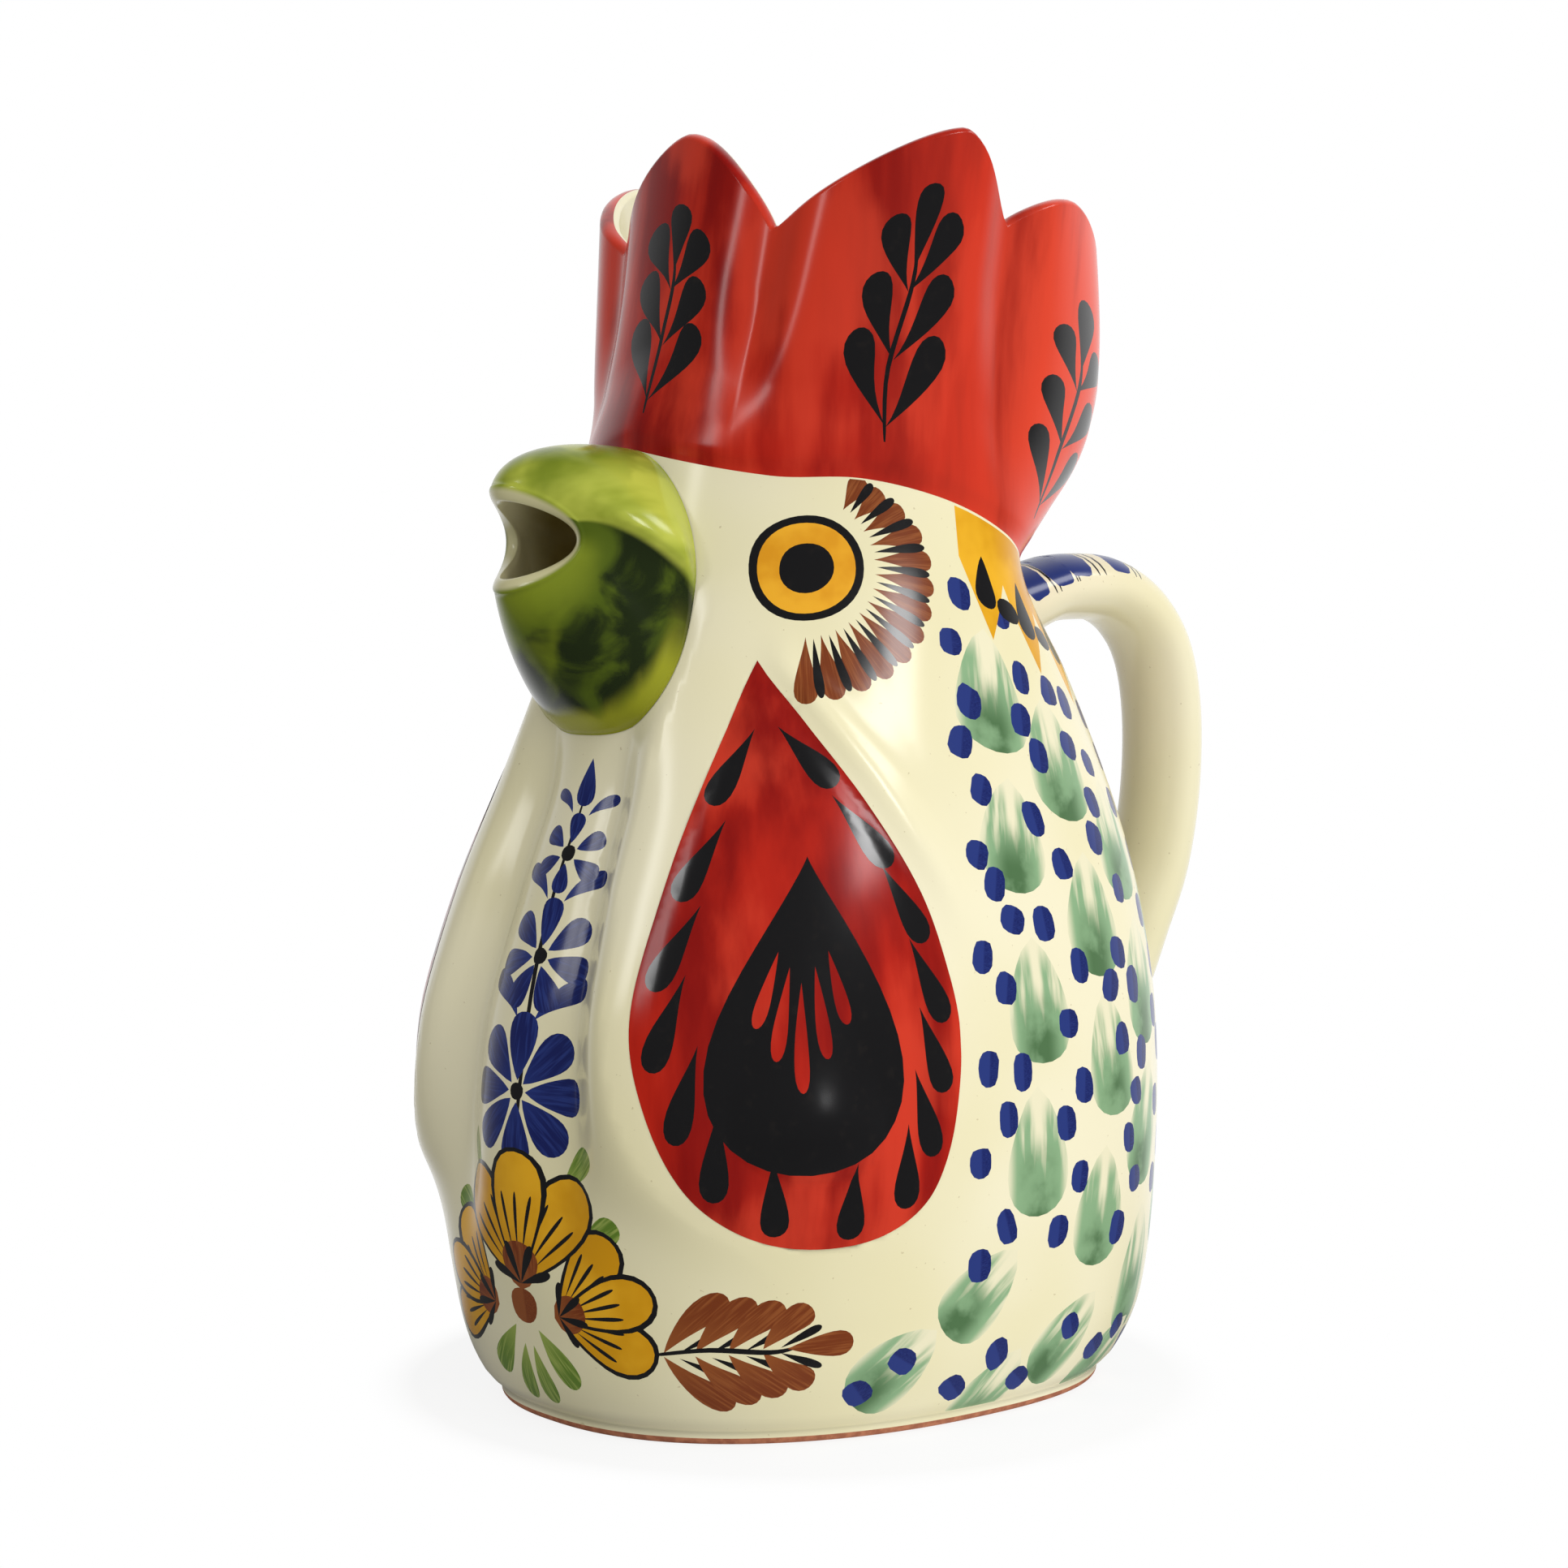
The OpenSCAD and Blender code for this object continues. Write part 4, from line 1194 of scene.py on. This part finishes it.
def paint_sprig(canvas, a, foot_share, top_share, lean, pairs, size=1.0):
    """A black stem with leaves in opposite pairs and one at its end."""
    at, top = (np.array([a * comb_x, share * comb_rise]) for share in (foot_share, top_share))
    length = float(np.linalg.norm(comb_skin(*top) - comb_skin(*at)))
    leaf_w, longest, shortest, spread, heading = 7.2 * size, 24 * size, 19 * size, 25, 90 + lean
    first_share, pairs_share, end_share = 0.06, 0.54, 0.68
    stem = ribbon([(0, 0), (length * 0.3, 0.8), (length * 0.6, -0.5), (length * 0.74, 0)])
    canvas.lay(at, stem, "black", angle=heading)
    upwards = np.array([cosd(heading), sind(heading)]) * length
    for k in range(pairs):
        share = k / max(pairs - 1, 1)
        leaf_l, start = mix(longest, shortest, share), upwards * (first_share + pairs_share * share)
        for side in (1, -1):
            drawn = leaf(leaf_l, leaf_w, bend=0.05 * side, tip=1.3)
            canvas.lay(at, drawn, "black", start=start, angle=heading + spread * side)
    end = leaf(length * 0.34, leaf_w, tip=1.3)
    canvas.lay(at, end, "black", start=upwards * end_share, angle=heading)


def comb_glaze():
    canvas = round_canvas(comb_skin, comb_x, comb_rise)
    paint_sprig(canvas, 3, 0.12, 0.80, 0, 3)
    for side in (1, -1):
        paint_sprig(canvas, 66 * side, 0.12, 0.86, -6 * side, 3)
        paint_sprig(canvas, 120 * side, 0.10, 0.84, -4 * side, 3, 0.92)
        paint_sprig(canvas, 163 * side, 0.12, 0.82, -3 * side, 2, 0.85)
    xs, red_rows, rim_rows = turns * comb_x, 5, 8
    outside = canvas.part(grid_points(xs, np.linspace(0, comb_rise, 41)), "red")
    rim = sheet(comb_rim, turns, np.linspace(0, 1, rim_rows + 1), "cream")
    rim.inks = np.where(np.arange(len(rim.inks)) % rim_rows < red_rows, "red", "cream")
    shared = row_normals(comb_skin, xs, comb_rise, (0, comb_rise))
    rim.normals.reshape(len(xs), -1, 3)[:, 0] = shared
    inside = sheet(comb_inner, turns, np.linspace(0, 1, 33), "cream", flip=True)
    weld(rim, -1, inside, -1, len(xs))
    piece("comb_glaze", [outside, rim, inside], "comb_crown")


# The beak, whose brush runs from its root over the lips to the throat
def beak_glaze():
    def brushed(first):
        return lambda g, t: pack(first + t, np.abs(np.mod(g + 180, 360) - 180) / 180, 0)
    gs, sides = np.linspace(0, 360, 181), {"periodic": True, "flip": True}
    steps = np.concatenate([np.linspace(0, root_fillet, 4), np.linspace(root_fillet, 1, 36)[1:]])
    outer = sheet(beak_outer, gs, steps, "beak_green", brush=brushed(0), **sides)
    lips = sheet(beak_lip, gs, np.linspace(0, 1, 9), "beak_green", brush=brushed(1), flip=True)
    inner = sheet(beak_inner, gs, np.linspace(0, 1, 15), "beak_inside", brush=brushed(2), flip=True)
    weld(outer, -1, lips, 0, len(gs))
    weld(lips, -1, inner, 0, len(gs))
    piece("beak_glaze", [outer, lips, inner], "beak_spout")


# The wattles. Shares of the boss: its middle's height, its reach up and down and its half width
drop_shares = [0.21, 0.34, 0.10, 0.46]
drop_tail = 16
edge_lift, middle_lift, edge_turn = 0.08, 0.55, 5
heart_z = mix(wattle_bottom, wattle_top, 0.38)
wattle_heart = on_body(wattle_mid(heart_z), heart_z)


def drop_boss(a, z):
    s = wattle_share(z) - drop_shares[0]
    v = np.where(s > 0, s / drop_shares[1], -s / drop_shares[2])
    narrow = np.where(s > 0, 1 - 0.5 * v, 1)
    d = (a - wattle_mid(z)) / (wattle_span * drop_shares[3] * narrow)
    bulge = drop_h * np.maximum(0, 1 - v * v - d * d) ** 1.2
    return bulge / np.where(s > 0, 1 + drop_tail * v * v, 1)


def wattle_rim(n):
    """Angles and heights of n places along a wattle's outline."""
    g = np.linspace(0, 360, n, endpoint=False)
    u = np.where(g < 180, 180 - g, g - 180) / 180
    z = mix(wattle_bottom, wattle_top, u * u)
    aside = wattle_span * curve(wattle_shares, u, 1)
    return wattle_mid(z) + np.where(g < 180, aside, -aside), z


def gap_to(outline, p):
    """Distance from each point to a closed outline."""
    e, q = np.roll(outline, -1, 0) - outline, p[..., None, :] - outline
    t = np.clip((q * e).sum(-1) / np.maximum((e * e).sum(-1), 1e-12), 0, 1)
    return np.linalg.norm(q - e * t[..., None], axis=-1).min(-1)


wattle_edge = on_body(*wattle_rim(160))


def wattle_skin(x, y):
    a, z = angle_and_height(x, y)
    pad = mix(edge_lift, middle_lift, ease(0, edge_turn, gap_to(wattle_edge, pack(x, y))))
    return body_at(a, z, relief(a, z) + drop_boss(a, z) + pad)


def paint_wattle():
    """A border of black commas, and a black teardrop with small red leaves."""
    canvas = Canvas(wattle_skin, (0, 0), (100 * body_x, body_h))
    count, strokes, denser, clear_y = 360, 17, 0.24, on_body(45, 152)[1]
    stroke_w, short, longer, least_inset, more_inset = 6.3, 17, 20.5, 1.2, 2.1
    low_aside, high_aside, droop = 0.75, 0.2, 0.3
    rim_a, rim_z = wattle_rim(count)
    places = on_body(rim_a, rim_z)
    along = np.concatenate([[0], np.cumsum(np.linalg.norm(np.diff(places, axis=0), axis=1))])
    for k in range(strokes):
        share = (k + 0.5) / strokes
        share += denser * math.sin(2 * math.pi * share) / (2 * math.pi)
        i = int(np.searchsorted(along, along[-1] * share))
        if places[i][1] > clear_y:
            continue
        tangent = places[(i + 3) % count] - places[i - 3]
        tangent /= np.linalg.norm(tangent) * (1 if tangent[1] < 0 else -1)
        out = np.array([-tangent[1], tangent[0]])
        if np.dot(out, places[i] - wattle_heart) < 0:
            out = -out
        aside = mix(low_aside, high_aside, wattle_share(rim_z[i]))
        heading = -tangent[1] * tangent + aside * out - [0, droop]
        angle = math.degrees(math.atan2(heading[1], heading[0]))
        long = mix(short, longer, abs(tangent[1])) + rng.normal() * 0.8
        inset = least_inset + more_inset * abs(np.dot(heading, tangent)) / np.linalg.norm(heading)
        stroke = leaf(long, stroke_w, tip=1.25) - [long, 0]
        canvas.lay(places[i] - out * inset, stroke, "black", angle=angle)
    top_z, drop_l, drop_w, drop_turn, leaves_z = 130, 72, 38, -87, 112
    canvas.lay(on_body(49.6, top_z), drop(drop_l, drop_w), "black", angle=drop_turn)
    leaf_l, shorter, leaf_w, apart, higher, lowest, fan = 24, 3.5, 3.0, 2.7, 3.4, -8.8, 7
    for k in (-2, -1, 0, 1, 2):
        canvas.lay(on_body(49.9, leaves_z), leaf(leaf_l - shorter * abs(k), leaf_w), "red",
                   start=(apart * k, lowest + higher * abs(k)), angle=drop_turn + fan * k)
    return canvas


def wattle_glaze(name, side, stands_for):
    cell, clear, inset = 1.8, 2, 1.1
    low, high = wattle_edge.min(0), wattle_edge.max(0)
    grid = grid_points(np.arange(low[0], high[0], cell), np.arange(low[1], high[1], cell))
    grid = grid[gap_to(wattle_edge, grid) > clear]
    ring = wattle_edge + unit(wattle_heart - wattle_edge) * inset
    part = paint_wattle().part(np.vstack([grid, ring]), "red", border=wattle_edge)
    if side < 0:
        part.points, part.normals = part.points * [-1, 1, 1], part.normals * [-1, 1, 1]
        part.faces = [f[::-1] for f in part.faces]
        part.brush = part.brush.reshape(-1, 3, 3)[:, ::-1].reshape(-1, 3)
    piece(name, [part], stands_for)


# The handle
handle_girth, handle_root_l, handle_strap_l = 66, 25, 200
handle_long = 2 * handle_root_l + handle_strap_l


def handle_skin(x, y):
    strap = (y - handle_root_l) / handle_strap_l
    upper, lower = y / handle_root_l - 1, 1 + (y - handle_root_l - handle_strap_l) / handle_root_l
    share = np.where(strap < 0, upper, np.where(strap > 1, lower, strap))
    return handle_at(x / handle_girth * 360 - 90, share)


def handle_glaze():
    """The strap, with blue blocks and thin black lines across its top near the body."""
    canvas = Canvas(handle_skin, (0, 0), (handle_girth, handle_long))
    y, gap, blocks, block_w, narrower, block_l, line_w, line_apart = 16, 13.5, 4, 36, 3, 8.6, 0.9, 1.1
    for k in range(blocks):
        at, w = (handle_girth / 2, y), block_w - narrower * k
        block = spot(w, block_l, n=28, full=5.5, amount=0.04)
        canvas.lay(at, block, "cobalt", size=(w, block_l))
        across = canvas.scale(at)[1]
        for aside in (-line_apart, line_apart):
            line = ribbon([(-w / 2, 0.5), (0, -0.3), (w / 2, 0.4)], line_w)
            canvas.lay((handle_girth / 2, y + (gap / 2 + aside) / across), line, "black")
        y += gap / across
    grid = grid_points(np.linspace(0, handle_girth, 41), np.linspace(0, handle_long, 126))
    piece("handle_glaze", [canvas.part(grid, "cream")], "handle")


# The foot
foot_rows, glaze_row = 12, 6   # rows of its side, and the one from which the glaze covers it


def foot_skin(a, s):
    turn = 90 * np.clip(s, 0, 1)
    z = np.where(s < 1, foot_edge * (1 - cosd(turn)), mix(foot_edge, foot_h, s - 1))
    p = body_at(a, foot_h, -foot_edge * (1 - sind(turn)))
    return pack(p[..., 0], p[..., 1], z)


def foot_clay():
    levels = np.linspace(0, 2, foot_rows + 1)
    side = sheet(foot_skin, turns, levels, "clay")
    side.inks = np.where(np.arange(len(side.inks)) % foot_rows >= glaze_row, "cream", "clay")
    above = row_normals(body_skin, turns * body_x, 0, (0, body_h))
    share = np.clip(levels - 1, 0, 1)[None, :, None]
    own = side.normals.reshape(len(turns), -1, 3)
    side.normals = unit(mix(own, above[:, None], share)).reshape(-1, 3)
    lower, upper = (foot_skin(turns[:-1], 0 * turns[:-1] + level) for level in levels[[0, -1]])
    under, top = disc(lower, 0, -1, "clay"), disc(upper, foot_h, 1, "clay", rim=above[:-1])
    piece("foot_clay", [side, under, top], "foot")


body_glaze()
comb_glaze()
beak_glaze()
wattle_glaze("wattle_right_glaze", 1, "wattle_right")
wattle_glaze("wattle_left_glaze", -1, "wattle_left")
handle_glaze()
foot_clay()


# Camera and lights, at angles round from the pitcher's front
def bearing(az, up):
    return Vector((sind(az) * cosd(up), -cosd(az) * cosd(up), sind(up)))


camera_az, camera_away, camera_up, camera_pitch, camera_back = 50, 0.720, 0.175, 2.6, -0.003325
data = bpy.data.cameras.new("camera")
lens_mm, sensor_mm = 69.39, 36
data.lens, data.sensor_width = lens_mm, sensor_mm
camera = add("camera", data)
camera.location = bearing(camera_az, 0) * camera_away + Vector((0, camera_back, camera_up))
camera.rotation_euler = (math.radians(90 - camera_pitch), 0, math.radians(camera_az))
bpy.context.scene.camera = camera
bpy.context.scene.view_settings.view_transform = "Standard"


def softbox(name, az, up, width, height, watts, away=1.3, aim=(0, 0, 0.14)):
    """An area light that is turned to the pitcher."""
    light = bpy.data.lights.new(name, "AREA")
    light.shape, light.size, light.size_y, light.energy = "RECTANGLE", width, height, watts
    obj = add(name, light)
    obj.location = Vector(aim) + bearing(az, up) * away
    obj.rotation_euler = (-bearing(az, up)).to_track_quat("-Z", "Y").to_euler()


softbox("front", 3, 30, 0.15, 0.5, 1.5)
softbox("side", 94, 31, 0.24, 0.30, 2.4)
softbox("rear", 138, 42, 0.5, 0.3, 2.7)

# White surroundings: the background and the backdrop behind the pitcher are white. The room gives
# a soft light, stronger on the side of +x, and is dim in reflections.
far_level, near_level, mirrored_level = 0.34, 1.2, 0.12
window_az, window_up = 96, 30
white = (1, 1, 1, 1)


def studio(nodes, direction):
    """How bright the surroundings are in a direction, for each kind of ray."""
    def toward(az, up, low, high, bottom, top):
        inputs = {0: direction, 1: bearing(az, up)}
        there = nodes.node("VectorMath", inputs, operation="DOT_PRODUCT").outputs["Value"]
        return nodes.rise(there, low, high, bottom, top)
    rays = nodes.node("LightPath").outputs
    glossy = rays["Is Glossy Ray"]
    seen = nodes.larger(rays["Is Camera Ray"], rays["Is Transmission Ray"])
    mirrored = nodes.times(glossy, toward(camera_az + 180, 0, 0.1, 0.8, mirrored_level, 1))
    others = nodes.maths("SUBTRACT", 1, nodes.larger(glossy, seen))
    soft = nodes.times(others, toward(window_az, window_up, 0.02, 1, far_level, near_level))
    return nodes.plus(nodes.larger(seen, mirrored), soft)


world = bpy.data.worlds.new("white")
bpy.context.scene.world = world
world.use_nodes = True
sky = Nodes(world.node_tree)
back = sky.tree.nodes["Background"]
sky.join(white, back.inputs["Color"])
sky.join(studio(sky, sky.node("TexCoord").outputs["Generated"]), back.inputs["Strength"])

# Pale floor that fades into the white background
floor_r, floor_colour = 3.0, (0.82, 0.82, 0.82, 1)
fade_from, fade_to, clear_share = 0.045, 0.105, 0.86
bm = bmesh.new()
bmesh.ops.create_circle(bm, cap_ends=True, segments=96, radius=floor_r)
mesh = bpy.data.meshes.new("floor")
bm.to_mesh(mesh)
bm.free()
floor = add("floor", mesh)
r = Glaze("pale_floor", rough=0.6, shine=0.1)
where = r.place()
length = r.node("VectorMath", {0: where}, operation="LENGTH").outputs["Value"]
way = r.node("VectorMath", {0: where}, operation="NORMALIZE").outputs[0]
glow = r.node("Emission", {"Color": white, "Strength": studio(r, way)})
fade = r.larger(r.rise(length, fade_from, fade_to), clear_share)
shader = r.node("MixShader", {"Fac": fade, 1: r.bsdf.outputs[0], 2: glow.outputs[0]})
r.join(shader.outputs[0], r.tree.nodes["Material Output"].inputs["Surface"])
mesh.materials.append(r.done(floor_colour))
